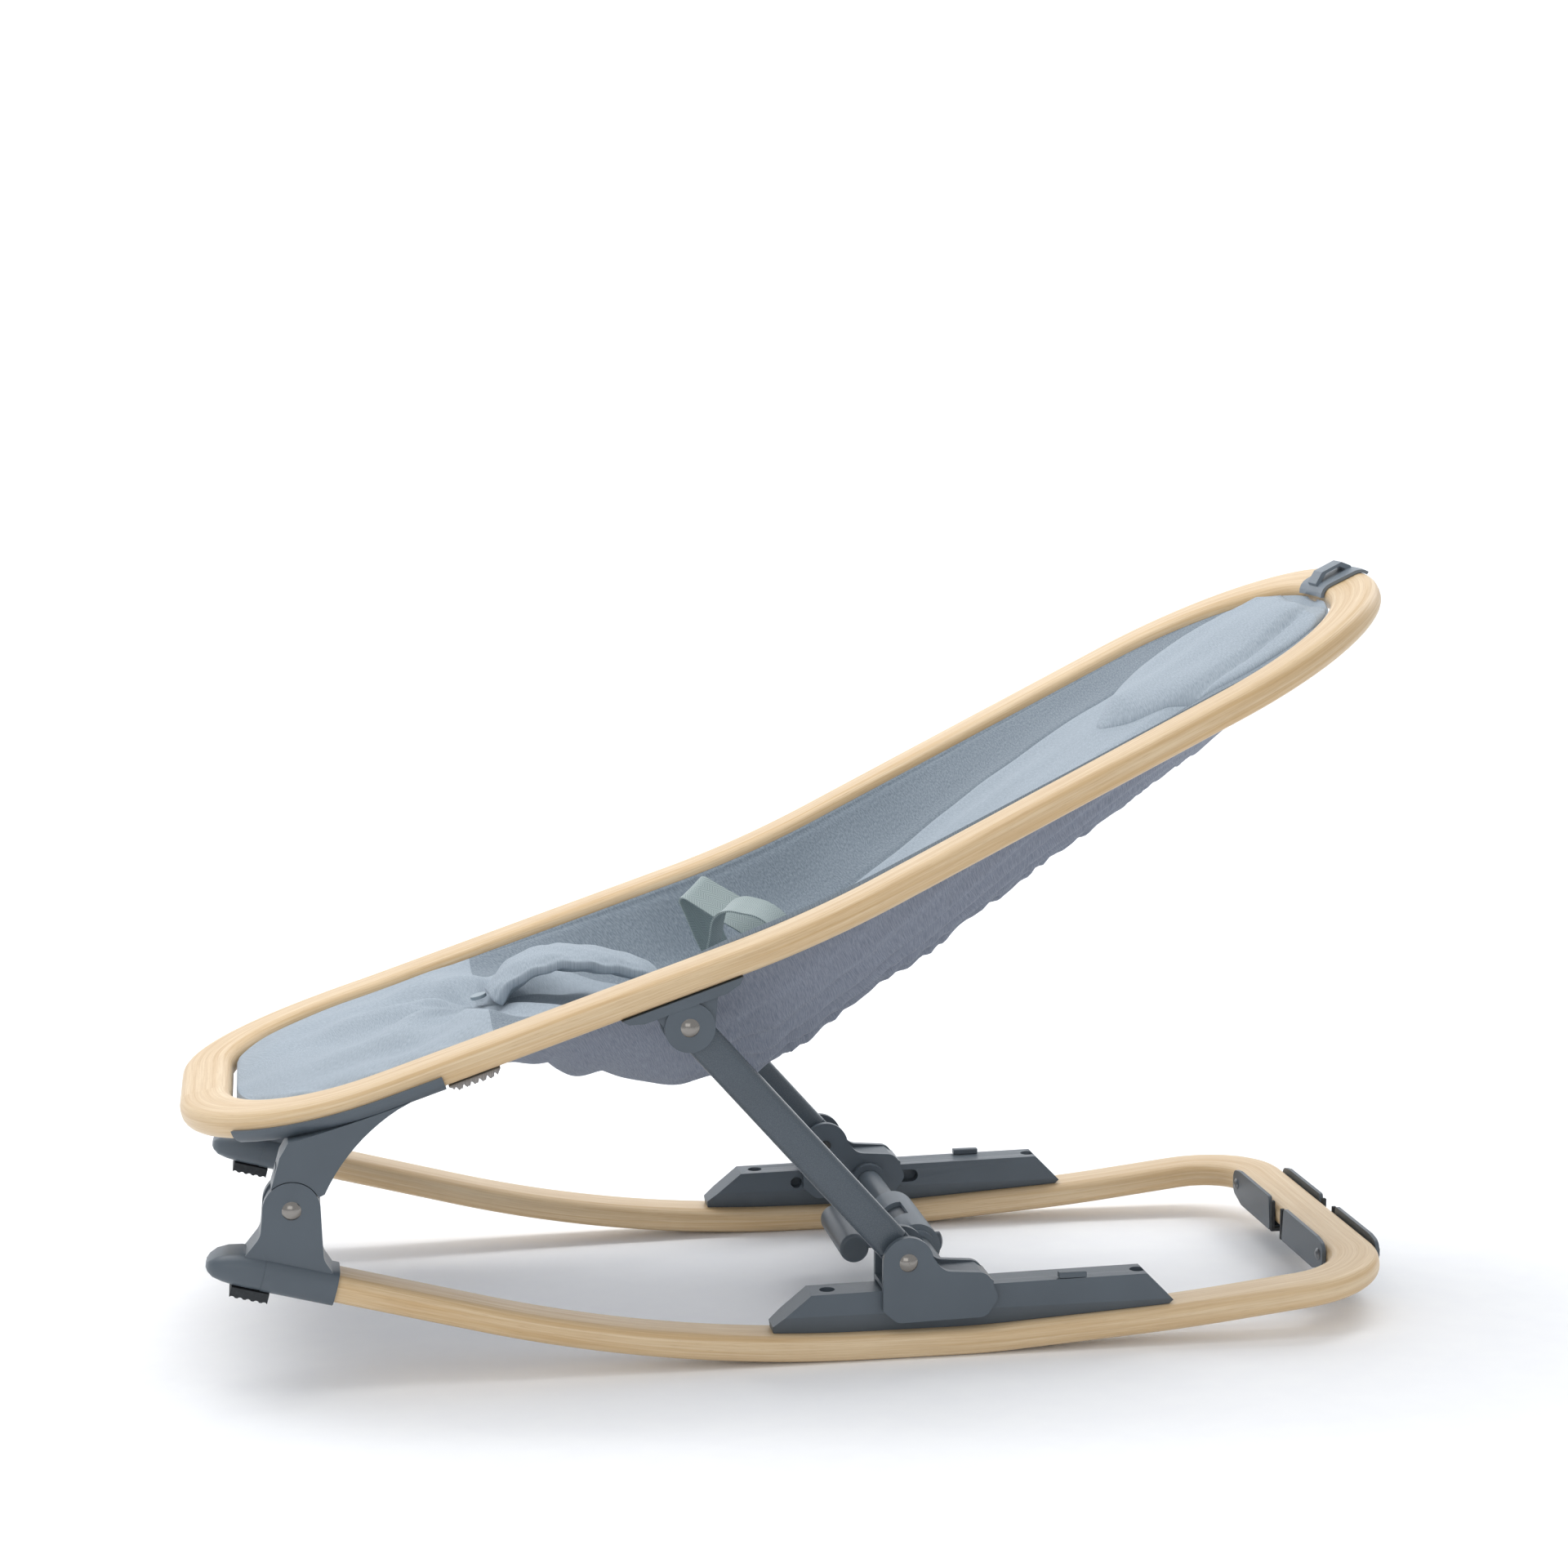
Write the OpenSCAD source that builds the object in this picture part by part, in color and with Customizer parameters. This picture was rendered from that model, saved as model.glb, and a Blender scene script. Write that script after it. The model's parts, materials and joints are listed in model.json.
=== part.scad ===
// Reclining bouncer seat for a baby: a bentwood seat ring with a hanging fabric seat, hinged at
// the foot end to a bentwood rocking base and held up by two links that stand on a sliding carriage.
// The head end is +X, the foot end is -X, the width is Y and +Z is up. Left is the -Y side, right
// is the +Y side. The origin is on the floor under the middle of the whole object.

/* [Bent wood] */
// Width of the bent wood strip
wood_w = 37; // [31:1:44]
// Thickness of the bent wood strip
wood_t = 19; // [16:0.5:23]
// Rounding of the strip's four edges
wood_r = 8; // [4:0.5:8]

/* [Seat ring] */
// Half width of the seat ring, to the middle of the strip
ring_half = 161; // [140:1:194]
// Corner radius of the ring at the foot end, to the middle of the strip
ring_foot_r = 118; // [90:1:130]
// Corner radius of the ring at the head end, to the middle of the strip
ring_head_r = 150; // [100:1:152]
// Length of the straight back part of the ring
back_len = 420; // [350:5:504]
// Rise of the ring at the foot end, in degrees
foot_rise = 12.5; // [8:0.5:15]
// Rise of the ring under the thighs, in degrees
thigh_rise = 18.8; // [16:0.2:22]
// Rise of the back, in degrees
back_rise = 26.9; // [24:0.1:32]

/* [Rocking base] */
// Half width of the base, to the middle of the strip
base_half = 162; // [140:1:195]
// Corner radius of the base at the rear, to the middle of the strip
base_corner_r = 58; // [45:1:70]
// Radius of the rocker's front curve, under the strip
rocker_r = 1057; // [900:1:1270]
// Slope of the straight front part, in degrees
front_slope = 14.8; // [12:0.2:17]
// Length of the straight front part
front_len = 153; // [140:1:184]
// Length that stands flat on the floor
flat_len = 65; // [40:1:90]
// Length of the straight rear end
rear_len = 114; // [95:1:137]

/* [Hinges and links] */
// Radius of every hinge pin's shaft
pin_r = 4; // [3.4:0.1:4.8]
// Radius of the domed pin heads
pin_head_r = 6.5; // [5.5:0.1:7.8]
// Running clearance of the pins in their bores, on the radius
pin_gap = 0.05; // [0.02:0.01:0.1]
// Radius of the front hinge's knuckle
knuckle_r = 19.5; // [16.5:0.5:23.4]
// Radius of the bosses around the upper pins and of the carriage's cheeks
boss_r = 17.5; // [15:0.5:21]
// Width of a link, seen from the side
link_w = 25; // [21:0.5:30]
// Thickness of a link
link_t = 16; // [13:0.5:17]
// Wall of the link's tube
link_wall = 1.8; // [1.2:0.1:2.6]
// Extra radius of the open hole in the link's foot
foot_play = 3.9; // [3.7:0.1:4.7]

/* [Carriage and tracks] */
// Length of a track
track_len = 289; // [245:1:346]
// Width of a track
track_w = 24; // [20:0.5:28]
// Height of the track's top above the floor, at the front hinge end
track_top = 48.5; // [46:0.5:58]
// Wall of the carriage's side cheeks
cheek_t = 5; // [4:0.5:6]
// Radius of the cross tube
tube_r = 10; // [8.5:0.5:12]
// Radius of the release housing at the middle of the cross tube
housing_r = 18; // [16:0.5:21.6]
// Length of the release housing
housing_len = 92; // [77:1:110]
// Radius of the grip bar
grip_r = 11; // [9:0.5:13]
// Length of the grip bar
grip_len = 84; // [70:1:100]
// Radius of the lock pins
lock_r = 4.5; // [3.8:0.1:5]

/* [Rear stands] */
// Distance from a stand's hinge to its foot
stand_len = 80; // [67:1:84]
// Wall of the folded stand
stand_wall = 3; // [2.5:0.1:3.6]

/* [Soft parts] */
// Width of the webbing
webbing_w = 25; // [20:1:30]
// Thickness of the webbing
webbing_t = 1.6; // [1.2:0.1:2]
// Thickness of the hanging seat's cloth, measured upright
sling_t = 4; // [3:0.5:5]
// Thickness of the padded liner in its middle
liner_t = 22; // [18:0.5:27]

/* [Hidden] */
$fn = 64;

// Clearance between neighbours that don't move on each other
fit_gap = 0.2;
// Clearance between pieces that pass each other
pass_gap = 0.5;
LEFT = 0;
RIGHT = 1;

// ---- outlines ----
function unit(v) = v / norm(v);
// Points of an arc about c, from angle a0 to a1
function arc(c, r, a0, a1, n = 8) =
  [for (i = [0:n]) let (a = a0 + (a1 - a0) * i / n) c + r * [cos(a), sin(a)]];
// Points that round the corner b between a and c
function round_corner(a, b, c, r, n) =
  let (u = unit(a - b), v = unit(c - b), half = acos(max(-1, min(1, u * v))) / 2,
       o = b + unit(u + v) * r / sin(half), p = b + u * r / tan(half), q = b + v * r / tan(half),
       a0 = atan2(p.y - o.y, p.x - o.x), turn = atan2(q.y - o.y, q.x - o.x) - a0,
       sweep = turn > 180 ? turn - 360 : turn < -180 ? turn + 360 : turn)
  arc(o, r, a0, a0 + sweep, n);
// Outline through [x, y, r] corners, each rounded by its own radius
function rounded(p, n = 5) = [for (i = [0:len(p) - 1])
  let (a = p[(i + len(p) - 1) % len(p)], b = p[i], c = p[(i + 1) % len(p)])
  each b[2] <= 0 ? [[b.x, b.y]] : round_corner([a.x, a.y], [b.x, b.y], [c.x, c.y], b[2], n)];
// Rounded rectangle about the origin, as an outline that runs anticlockwise
function round_rect(w, t, r, n = 3) = concat(
  arc([w / 2 - r, -t / 2 + r], r, -90, 0, n), arc([w / 2 - r, t / 2 - r], r, 0, 90, n),
  arc([-w / 2 + r, t / 2 - r], r, 90, 180, n), arc([-w / 2 + r, -t / 2 + r], r, 180, 270, n));

// ---- side profiles: stretches of [length, turn] walked from [x, z, slope] ----
function advance(p, l, turn, whole) =
  let (rate = turn / whole, a = p[2] + rate * l, r = 180 / (PI * rate))
  abs(rate) < 1e-6 ? [p.x + l * cos(a), p.y + l * sin(a), a]
                   : [p.x + r * (sin(a) - sin(p[2])), p.y - r * (cos(a) - cos(p[2])), a];
function walk(way, u, p, i = 0) = i == len(way) - 1 || u <= way[i][0]
  ? advance(p, u, way[i][1], way[i][0])
  : walk(way, u - way[i][0], advance(p, way[i][0], way[i][1], way[i][0]), i + 1);
function total(way, i = 0) = i == len(way) ? 0 : way[i][0] + total(way, i + 1);

// The ring: foot rest, thighs, curve at the hips, straight back
ring_way = [[140, thigh_rise - foot_rise], [240, 0], [120, back_rise - thigh_rise], [back_len, 0]];
ring_len = total(ring_way);
ring_flat_end = walk(ring_way, ring_len, [0, 0, foot_rise]);
// Overhang of the tilted strip beyond its middle line, at each end
function overhang(a) = (wood_w / 2 - wood_r) * cos(a) + (wood_t / 2 - wood_r) * sin(a) + wood_r;
ring_x0 = -(ring_flat_end.x + overhang(back_rise) - overhang(foot_rise)) / 2;
ring_z0 = 171.4;
function ring_at(u) = walk(ring_way, u, [ring_x0, ring_z0, foot_rise]);

// The base: straight front, rocker curve, flat on the floor, rise to the rear
rocker_mid_r = rocker_r - wood_t / 2;
base_way = [[front_len, 0], [rocker_mid_r * front_slope * PI / 180, front_slope], [flat_len, 0],
            [41, 4], [90, 0], [70, 2.5], [rear_len, 0]];
base_len = total(base_way);
flat_x = 30;
base_x0 = flat_x - rocker_mid_r * sin(front_slope) - front_len * cos(front_slope);
base_z0 = wood_t / 2 + rocker_mid_r * (1 - cos(front_slope)) + front_len * sin(front_slope);
function base_at(u) = walk(base_way, u, [base_x0, base_z0, -front_slope]);
// Length along the base at which the profile reaches x
function base_u(x, lo = 0, hi = base_len, n = 24) = let (mid = (lo + hi) / 2)
  n == 0 ? mid : base_at(mid).x < x ? base_u(x, mid, hi, n - 1) : base_u(x, lo, mid, n - 1);
function ring_u(x, lo = 0, hi = ring_len, n = 24) = let (mid = (lo + hi) / 2)
  n == 0 ? mid : ring_at(mid).x < x ? ring_u(x, mid, hi, n - 1) : ring_u(x, lo, mid, n - 1);

// ---- plan stations [u, y, heading] ----
function turn(c, r, h0, h1, n) =
  [for (i = [0:n]) let (h = h0 + (h1 - h0) * i / n) [c.x + r * sin(h), c.y - r * cos(h), h]];
function side(u0, u1, y, h, n) = [for (i = [1:n - 1]) [u0 + (u1 - u0) * i / n, y, h]];
ring_foot_c = ring_half - ring_foot_r;
ring_head_c = ring_half - ring_head_r;
ring_stations = concat(
  turn([ring_foot_r, -ring_foot_c], ring_foot_r, -90, 0, 11),
  side(ring_foot_r, ring_len - ring_head_r, -ring_half, 0, 22),
  turn([ring_len - ring_head_r, -ring_head_c], ring_head_r, 0, 90, 13),
  turn([ring_len - ring_head_r, ring_head_c], ring_head_r, 90, 180, 13),
  side(ring_len - ring_head_r, ring_foot_r, ring_half, 180, 22),
  turn([ring_foot_r, ring_foot_c], ring_foot_r, 180, 270, 11));
base_corner_c = base_half - base_corner_r;
base_stations = concat(
  [[0, -base_half, 0]], side(0, base_len - base_corner_r, -base_half, 0, 30),
  turn([base_len - base_corner_r, -base_corner_c], base_corner_r, 0, 90, 9),
  turn([base_len - base_corner_r, base_corner_c], base_corner_r, 90, 180, 9),
  side(base_len - base_corner_r, 0, base_half, 180, 30), [[0, base_half, 180]]);

// Point at [w across, t up] from a station, given the profile point there
function lay(p, s, w, t) = [p.x - w * sin(s[2]) * cos(p[2]) - t * sin(p[2]), s[1] + w * cos(s[2]),
                            p.y - w * sin(s[2]) * sin(p[2]) + t * cos(p[2])];
// Solid swept from rings of points, each ring anticlockwise as seen from the next one. A ring has an
// even number of points, and its first half faces its second half across the solid.
module loft(rings, closed = false) {
  m = len(rings[0]);
  last = len(rings) - (closed ? 1 : 2);
  skin = [for (i = [0:last]) let (k = (i + 1) % len(rings)) for (j = [0:m - 1])
    let (a = i * m + j, b = i * m + (j + 1) % m, c = k * m + (j + 1) % m, d = k * m + j)
    each [[a, d, c], [a, c, b]]];
  far = (len(rings) - 1) * m;
  ends = closed ? [] : [for (i = [0:m / 2 - 2]) let (j = m - 1 - i)
    each [[i, i + 1, j - 1], [i, j - 1, j], [far + j - 1, far + i + 1, far + i],
          [far + j, far + j - 1, far + i]]];
  polyhedron([for (r = rings) each r], concat(skin, ends), convexity = 6);
}
module sweep_ring(stations, section, closed = false) {
  loft([for (s = stations) let (p = ring_at(s[0])) [for (q = section) lay(p, s, q.x, q.y)]], closed);
}
module sweep_base(stations, section) {
  loft([for (s = stations) let (p = base_at(s[0])) [for (q = section) lay(p, s, q.x, q.y)]]);
}
// Strip of cloth swept along its own side profile, upright across Y
module sweep_strip(way, start, y, w, t, n = 14, r = 0.4) {
  whole = total(way);
  section = round_rect(w, t, r, 1);
  loft([for (i = [0:n]) let (p = walk(way, whole * i / n, start))
        [for (q = section) lay(p, [0, y, 0], q.x, q.y)]]);
}
// Extrusion of an XZ outline between two heights across Y, for the left side
module upright(y0, y1, pts) {
  translate([0, y1, 0]) rotate([90, 0, 0]) linear_extrude(y1 - y0) polygon(pts);
}
// Cylinder along Y about [x, z], between y0 and y1
module rod(c, r, y0, y1) {
  translate([c.x, y0, c.y]) rotate([-90, 0, 0]) cylinder(r = r, h = y1 - y0);
}
// What is modelled on the left, kept there or mirrored to the right
module hand(which) {
  if (which == LEFT) children();
  else mirror([0, 1, 0]) children();
}
wood_section = round_rect(wood_w, wood_t, wood_r, 3);

// ---- places ----
// Middle plane of the links, pins and clevises on the left
mech_y = -(ring_half + base_half) / 2;
// Front hinge, upper pin of the link and carriage pin, as [x, z]
hinge_c = [-365.8, 127.3];
upper_c = [-94, 243.2];
foot_c = [58.9, 70.3];
link_len = norm(foot_c - upper_c);
link_angle = atan2(foot_c.y - upper_c.y, foot_c.x - upper_c.x);
// Half gap between the clevis cheeks, and the cheeks' outer faces
clevis_half = link_t / 2 + pass_gap;
carriage_half = track_w / 2 + pass_gap;
carriage_out = carriage_half + cheek_t;
// Axis of the cross tube, the release lever and the lock pins
tube_c = [93, 40.5];
track_x0 = -36;
track_slope = 0.9;
track_x1 = track_x0 + track_len;
function track_z(x) = track_top + (x + 9.5) * tan(track_slope);

// Domed pin head with its shaft, from the outer face y0 inwards to y1
module pin_with_head(c, y0, y1) {
  dome_h = 2.6;
  dome_r = (pin_head_r * pin_head_r + dome_h * dome_h) / (2 * dome_h);
  rod(c, pin_r, y0 - 0.01, y1);
  translate([c.x, y0, c.y]) rotate([90, 0, 0]) intersection() {
    translate([0, 0, dome_h - dome_r]) sphere(r = dome_r);
    cylinder(r = pin_head_r, h = dome_h + 1);
  }
}
// Pan-head screw with a short shank, head up along +Z, sitting at z = 0
module screw(head_r = 4.2, head_h = 2, shank_r = 1.9, shank_l = 8) {
  difference() {
    cylinder(r = head_r, h = head_h);
    translate([0, 0, head_h - 1.1]) cylinder(r = 1.7, h = 2, $fn = 6);
  }
  translate([0, 0, -shank_l]) cylinder(r = shank_r, h = shank_l + 0.01);
}

// ---- base ----
cap_cover = 50;
cap_wall = 2.5;
tongue_t = 14;
// The shoe's nose: distance along it, what it loses in width and in thickness, and its rise
nose_rings = [[-38.6, 30, 20.6, -3], [-37, 19, 16, -2.6], [-33, 9.5, 9.6, -1.9], [-26, 4, 4.6, -0.9],
  [-17, 1.2, 1.4, -0.2], [-8, 0.5, 0.5, 0], [4, 0.9, 0.9, 0]];
stand_pivot_y = 98;
stand_bolt_r = 3;
rear_end = base_at(base_len);
rear_c = [rear_end.x, rear_end.y];

module along_front(which = LEFT) {
  hand(which) translate([base_x0, -base_half, base_z0]) rotate([0, front_slope, 0]) children();
}
// Bar along +X with a rounded cross-section
module bar(l, w, t, r) { rotate([90, 0, 90]) linear_extrude(l) polygon(round_rect(w, t, r, 5)); }

module base_frame() {
  color("burlywood") difference() {
    sweep_base(base_stations, wood_section);
    for (s = [-1, 1]) translate([rear_c.x - wood_w, s * stand_pivot_y, rear_c.y])
      rotate([0, 90, 0]) cylinder(r = stand_bolt_r + pin_gap, h = 2 * wood_w);
  }
}
// Moulded shoe on the front end of each rail, with the clevis of the front hinge
module front_cap(which) {
  cheek_half = wood_w / 2 - 3;
  color("dimgray") hand(which) difference() {
    union() {
      along_front() bar(cap_cover, wood_w + 2 * cap_wall, wood_t + 2 * cap_wall, wood_r + cap_wall);
      along_front() loft([for (k = nose_rings) let (w = wood_w + 2 * cap_wall - k[1],
        t = wood_t + 2 * cap_wall - k[2])
        [for (q = round_rect(w, t, min(w, t) / 2 - 1.4, 5)) [k[0], q.x, q.y + k[3]]]]);
      upright(-base_half - cheek_half, -base_half + cheek_half, rounded([
        [hinge_c.x - knuckle_r, hinge_c.y, 0], [-387, 110, 14], [-400, 94, 3], [-396, 80, 0],
        [-342, 72, 0], [-336, 78, 2], [-345, 92, 12], [hinge_c.x + knuckle_r, hinge_c.y, 0]]));
      rod(hinge_c, knuckle_r, -base_half - cheek_half, -base_half + cheek_half);
    }
    along_front() bar(cap_cover + 1, wood_w + 2 * fit_gap, wood_t + 2 * fit_gap, wood_r + fit_gap);
    rod(hinge_c, knuckle_r + pass_gap, -base_half - tongue_t / 2 - pass_gap,
        -base_half + tongue_t / 2 + pass_gap);
    rod(hinge_c, pin_r + pin_gap, -base_half - wood_w, -base_half + wood_w);
  }
}
// Ribbed rubber pad under the shoe
module foot_pad(which) {
  color("darkslategray") along_front(which) translate([-19, 0, -wood_t / 2 - cap_wall - fit_gap])
    rotate([90, 0, 0]) translate([0, 0, -15]) linear_extrude(30) difference() {
      translate([0, -7]) square([26, 7]);
      for (i = [0:4]) translate([2 + i * 5.5, -8.2]) circle(r = 2.2, $fn = 24);
    }
}
module front_hinge_pin(which) {
  outer = -base_half - wood_w / 2 + 3;
  color("silver") hand(which) pin_with_head(hinge_c, outer - 0.1, -base_half + wood_w / 2 - 3);
}
// Screws that hold the shoes to the rails, under each rail
module rail_screws() {
  color("silver") for (which = [LEFT, RIGHT]) along_front(which)
    translate([cap_cover + 16, 0, -wood_t / 2]) rotate([180, 0, 0]) screw(head_r = 4.5);
}

// Travel of the carriage each way, and the slot in the track that the lock pins run in
carriage_travel = 37.5;
lock_depth = 9;
track_hole_x = 36;
track_screw_x = [4, track_x1 - 24];
module track(which) {
  bottom = [for (i = [0:12]) let (p = base_at(base_u(track_x0 + (track_len - 2) * i / 12)))
    [p.x - (wood_t / 2 + fit_gap) * sin(p[2]), p.y + (wood_t / 2 + fit_gap) * cos(p[2])]];
  front = [track_x0 + 27, track_z(track_x0 + 27)];
  back = [track_x1 - 20, track_z(track_x1 - 20)];
  outline = concat(bottom, [[track_x1, bottom[12].y + 3]], [back], [front],
                   [[track_x0, bottom[0].y + 5]]);
  face = -base_half + track_w / 2;
  color("dimgray") hand(which) difference() {
    intersection() {
      upright(-base_half - track_w / 2, -base_half + track_w / 2, outline);
      translate([track_x0 - 1, -base_half, 0]) rotate([90, 0, 90]) linear_extrude(track_len + 2)
        polygon([[-track_w / 2 + 5, 0], [track_w / 2 - 5, 0], [track_w / 2 - 5, 20],
                 [track_w / 2, 33], [track_w / 2, track_top + 10], [-track_w / 2, track_top + 10],
                 [-track_w / 2, 33], [-track_w / 2 + 5, 20]]);
    }
    rod([track_hole_x, tube_c.y - 1], lock_r, face - lock_depth, face + 1);
    translate([tube_c.x, 0, tube_c.y]) rotate([0, -track_slope, 0]) {
      for (d = [-carriage_travel, carriage_travel])
        rod([d, 0], lock_r + pass_gap, face - lock_depth, face + 1);
      translate([-carriage_travel, face - lock_depth, -lock_r - pass_gap])
        cube([2 * carriage_travel, lock_depth + 1, 2 * (lock_r + pass_gap)]);
    }
    for (x = track_screw_x) translate([x, -base_half, track_z(x)]) {
      translate([0, 0, -7]) cylinder(r = 5.5, h = 10);
      translate([0, 0, -40]) cylinder(r = 2.2, h = 40);
    }
  }
}
module track_screws() {
  color("silver") for (which = [LEFT, RIGHT], x = track_screw_x)
    hand(which) translate([x, -base_half, track_z(x) - 7]) screw(shank_r = 2, shank_l = 20);
}
// Stop that the carriage meets at the end of its travel
module track_stop(which) {
  x = tube_c.x + 76;
  color("dimgray") hand(which) translate([x, -base_half - track_w / 2, track_z(x + 10) + 0.4])
    rotate([90, 0, 90]) linear_extrude(20) polygon(rounded([[0, 0, 0], [6, 0, 0], [6, 4, 1.2], [0, 4, 1.2]]));
}
module stand_bolt(which) {
  reach = wood_w / 2 + 0.7 + stand_wall;
  color("silver") hand(which) translate([rear_c.x, -stand_pivot_y, rear_c.y]) {
    translate([-reach - 0.2, 0, 0]) rotate([0, 90, 0]) cylinder(r = stand_bolt_r, h = 2 * reach + 0.4);
    translate([-reach - 0.2, 0, 0]) rotate([0, -90, 0]) intersection() {
      translate([0, 0, -4]) sphere(r = 6);
      cylinder(r = 4.6, h = 3);
    }
    translate([reach + 0.2, 0, 0]) rotate([0, 90, 0]) cylinder(r = 5, h = 2, $fn = 6);
  }
}

// ---- seat ----
// Outline of a tray that holds the lower half of the strip, of the given wall
function tray(wall, lip) = concat(
  [[-wood_w / 2 - fit_gap - wall, lip]],
  arc([-wood_w / 2 + wood_r, -wood_t / 2 + wood_r], wood_r + fit_gap + wall, 180, 270, 4),
  arc([wood_w / 2 - wood_r, -wood_t / 2 + wood_r], wood_r + fit_gap + wall, 270, 360, 4),
  [[wood_w / 2 + fit_gap + wall, lip]], [[wood_w / 2 + fit_gap, lip]],
  arc([wood_w / 2 - wood_r, -wood_t / 2 + wood_r], wood_r + fit_gap, 360, 270, 4),
  arc([-wood_w / 2 + wood_r, -wood_t / 2 + wood_r], wood_r + fit_gap, 270, 180, 4),
  [[-wood_w / 2 - fit_gap, lip]]);
// Stations of the left rail from a heading in the foot corner to a length along the side
function left_stations(h0, u1, n1, n2) = concat(
  turn([ring_foot_r, -ring_foot_c], ring_foot_r, h0, 0, n1),
  [for (i = [1:n2]) [ring_foot_r + (u1 - ring_foot_r) * i / n2, -ring_half, 0]]);

module seat_ring() { color("burlywood") sweep_ring(ring_stations, wood_section, closed = true); }

bracket_wall = 2.4;
leg_half = wood_w / 2 - 3.5;
bracket_end = ring_u(-264);
// Bracket under the foot end: a tray for the ring, a curved leg and the hinge tongue
module front_bracket(which) {
  under = wood_t / 2 + fit_gap + bracket_wall / 2;
  top = [for (i = [0:8]) let (p = ring_at(ring_u(-288) + (ring_u(-370) - ring_u(-288)) * i / 8))
    [p.x + under * sin(p[2]), p.y - under * cos(p[2])]];
  right = arc([-222.3, 81], 133.7, 155, 122, 10);
  leg = concat([[hinge_c.x, hinge_c.y]], right, top, [[-373, 164], [-377, 150], [-380.5, 138]]);
  color("dimgray") hand(which) difference() {
    union() {
      sweep_ring(left_stations(-46, bracket_end, 7, 5), tray(bracket_wall, -1));
      difference() {
        upright(-base_half - leg_half, -base_half + leg_half, leg);
        rod(hinge_c, knuckle_r + pass_gap, -base_half - wood_w, -base_half + wood_w);
      }
      rod(hinge_c, knuckle_r - 1.5, -base_half - tongue_t / 2, -base_half + tongue_t / 2);
      upright(-base_half - tongue_t / 2, -base_half + tongue_t / 2,
        [[-380, 134], [-349, 134], [-343, 150], [-376, 156]]);
    }
    rod(hinge_c, pin_r + pin_gap, -base_half - wood_w, -base_half + wood_w);
    sweep_ring(left_stations(-50, bracket_end + 8, 7, 5), round_rect(wood_w + 0.3, wood_t + 0.3, wood_r, 3));
  }
}
flange_t = 7;
// Bracket under the hips: a flange on the ring and the clevis of the link
module upper_bracket(which) {
  u0 = ring_u(-144);
  u1 = ring_u(-60);
  function under(u, d) = let (p = ring_at(u)) [p.x + d * sin(p[2]), p.y - d * cos(p[2])];
  gap = wood_t / 2 + fit_gap;
  flange = concat([for (i = [0:6]) under(u0 + (u1 - u0) * i / 6, gap)],
    [under(u1 - 4, gap + 4), under(u1 - 14, gap + flange_t), under(u0 + 14, gap + flange_t),
     under(u0 + 4, gap + 4)]);
  cheek = [[upper_c.x - boss_r, upper_c.y], [upper_c.x + boss_r, upper_c.y],
           under(u1 - 20, gap + flange_t - 2), under(u0 + 22, gap + flange_t - 2)];
  color("dimgray") hand(which) difference() {
    union() {
      upright(-ring_half - wood_w / 2 + 2, -ring_half + wood_w / 2 - 2, flange);
      for (s = [-1, 1]) let (y = mech_y + s * (clevis_half + cheek_t / 2)) {
        upright(y - cheek_t / 2, y + cheek_t / 2, cheek);
        rod(upper_c, boss_r, y - cheek_t / 2, y + cheek_t / 2);
      }
      rod(upper_c, boss_r, mech_y - clevis_half - cheek_t - 2, mech_y - clevis_half - cheek_t + 0.01);
    }
    rod(upper_c, pin_r + pin_gap, mech_y - 40, mech_y + 40);
  }
}
module upper_pin(which) {
  color("silver") hand(which)
    pin_with_head(upper_c, mech_y - clevis_half - cheek_t - 2.1, mech_y + clevis_half + cheek_t + 1);
}
// Screws that come up through the brackets into the ring, two to a bracket
module bracket_screws() {
  seats = [[ring_u(-300), wood_t / 2 + fit_gap + bracket_wall], [ring_u(-136), wood_t / 2 + fit_gap + 6.5],
           [ring_u(-68), wood_t / 2 + fit_gap + 6.5]];
  color("silver") for (which = [LEFT, RIGHT], s = seats) let (p = ring_at(s[0])) hand(which)
    translate([p.x, -ring_half + 13, p.y]) rotate([0, -p[2], 0]) translate([0, 0, -s[1]])
      rotate([180, 0, 0]) screw(head_r = 3.6, head_h = 1.6, shank_r = 1.5, shank_l = 12);
}

// Gap between the wood and the cloth, and the clear half width inside the ring
soft_gap = 3.4;
function inner_half(u) = let (rf = ring_foot_r - wood_w / 2 - soft_gap,
    rh = ring_head_r - wood_w / 2 - soft_gap, df = ring_foot_r - u, dh = u - ring_len + ring_head_r)
  df > 0 ? ring_foot_c + sqrt(max(0, rf * rf - df * df))
  : dh > 0 ? ring_head_c + sqrt(max(0, rh * rh - dh * dh)) : ring_half - wood_w / 2 - soft_gap;
soft_u0 = wood_w / 2 + soft_gap;
soft_u1 = ring_len - wood_w / 2 - soft_gap;
// Length along the ring, as a share of its length
function span(k) = soft_u0 + (soft_u1 - soft_u0) * k;
// Depth of the cloth's underside and of the padded top below the ring's middle plane
function sling_depth(u) = lookup(u / ring_len, [[0.02, 5], [0.05, 14], [0.14, 20], [0.22, 31],
  [0.262, 41], [0.296, 64], [0.384, 102], [0.409, 108], [0.455, 115], [0.503, 104], [0.577, 90],
  [0.651, 76], [0.763, 58], [0.87, 38], [0.94, 24], [0.98, 5]]);
function liner_depth(u) = lookup(u / ring_len, [[0.02, -3], [0.06, -9], [0.15, -10], [0.22, -2],
  [0.29, 22], [0.36, 56], [0.42, 72], [0.48, 68], [0.6, 47], [0.65, 34], [0.7, 24], [0.75, 16],
  [0.8, 11], [0.88, 5], [0.98, -3]]);
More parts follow.
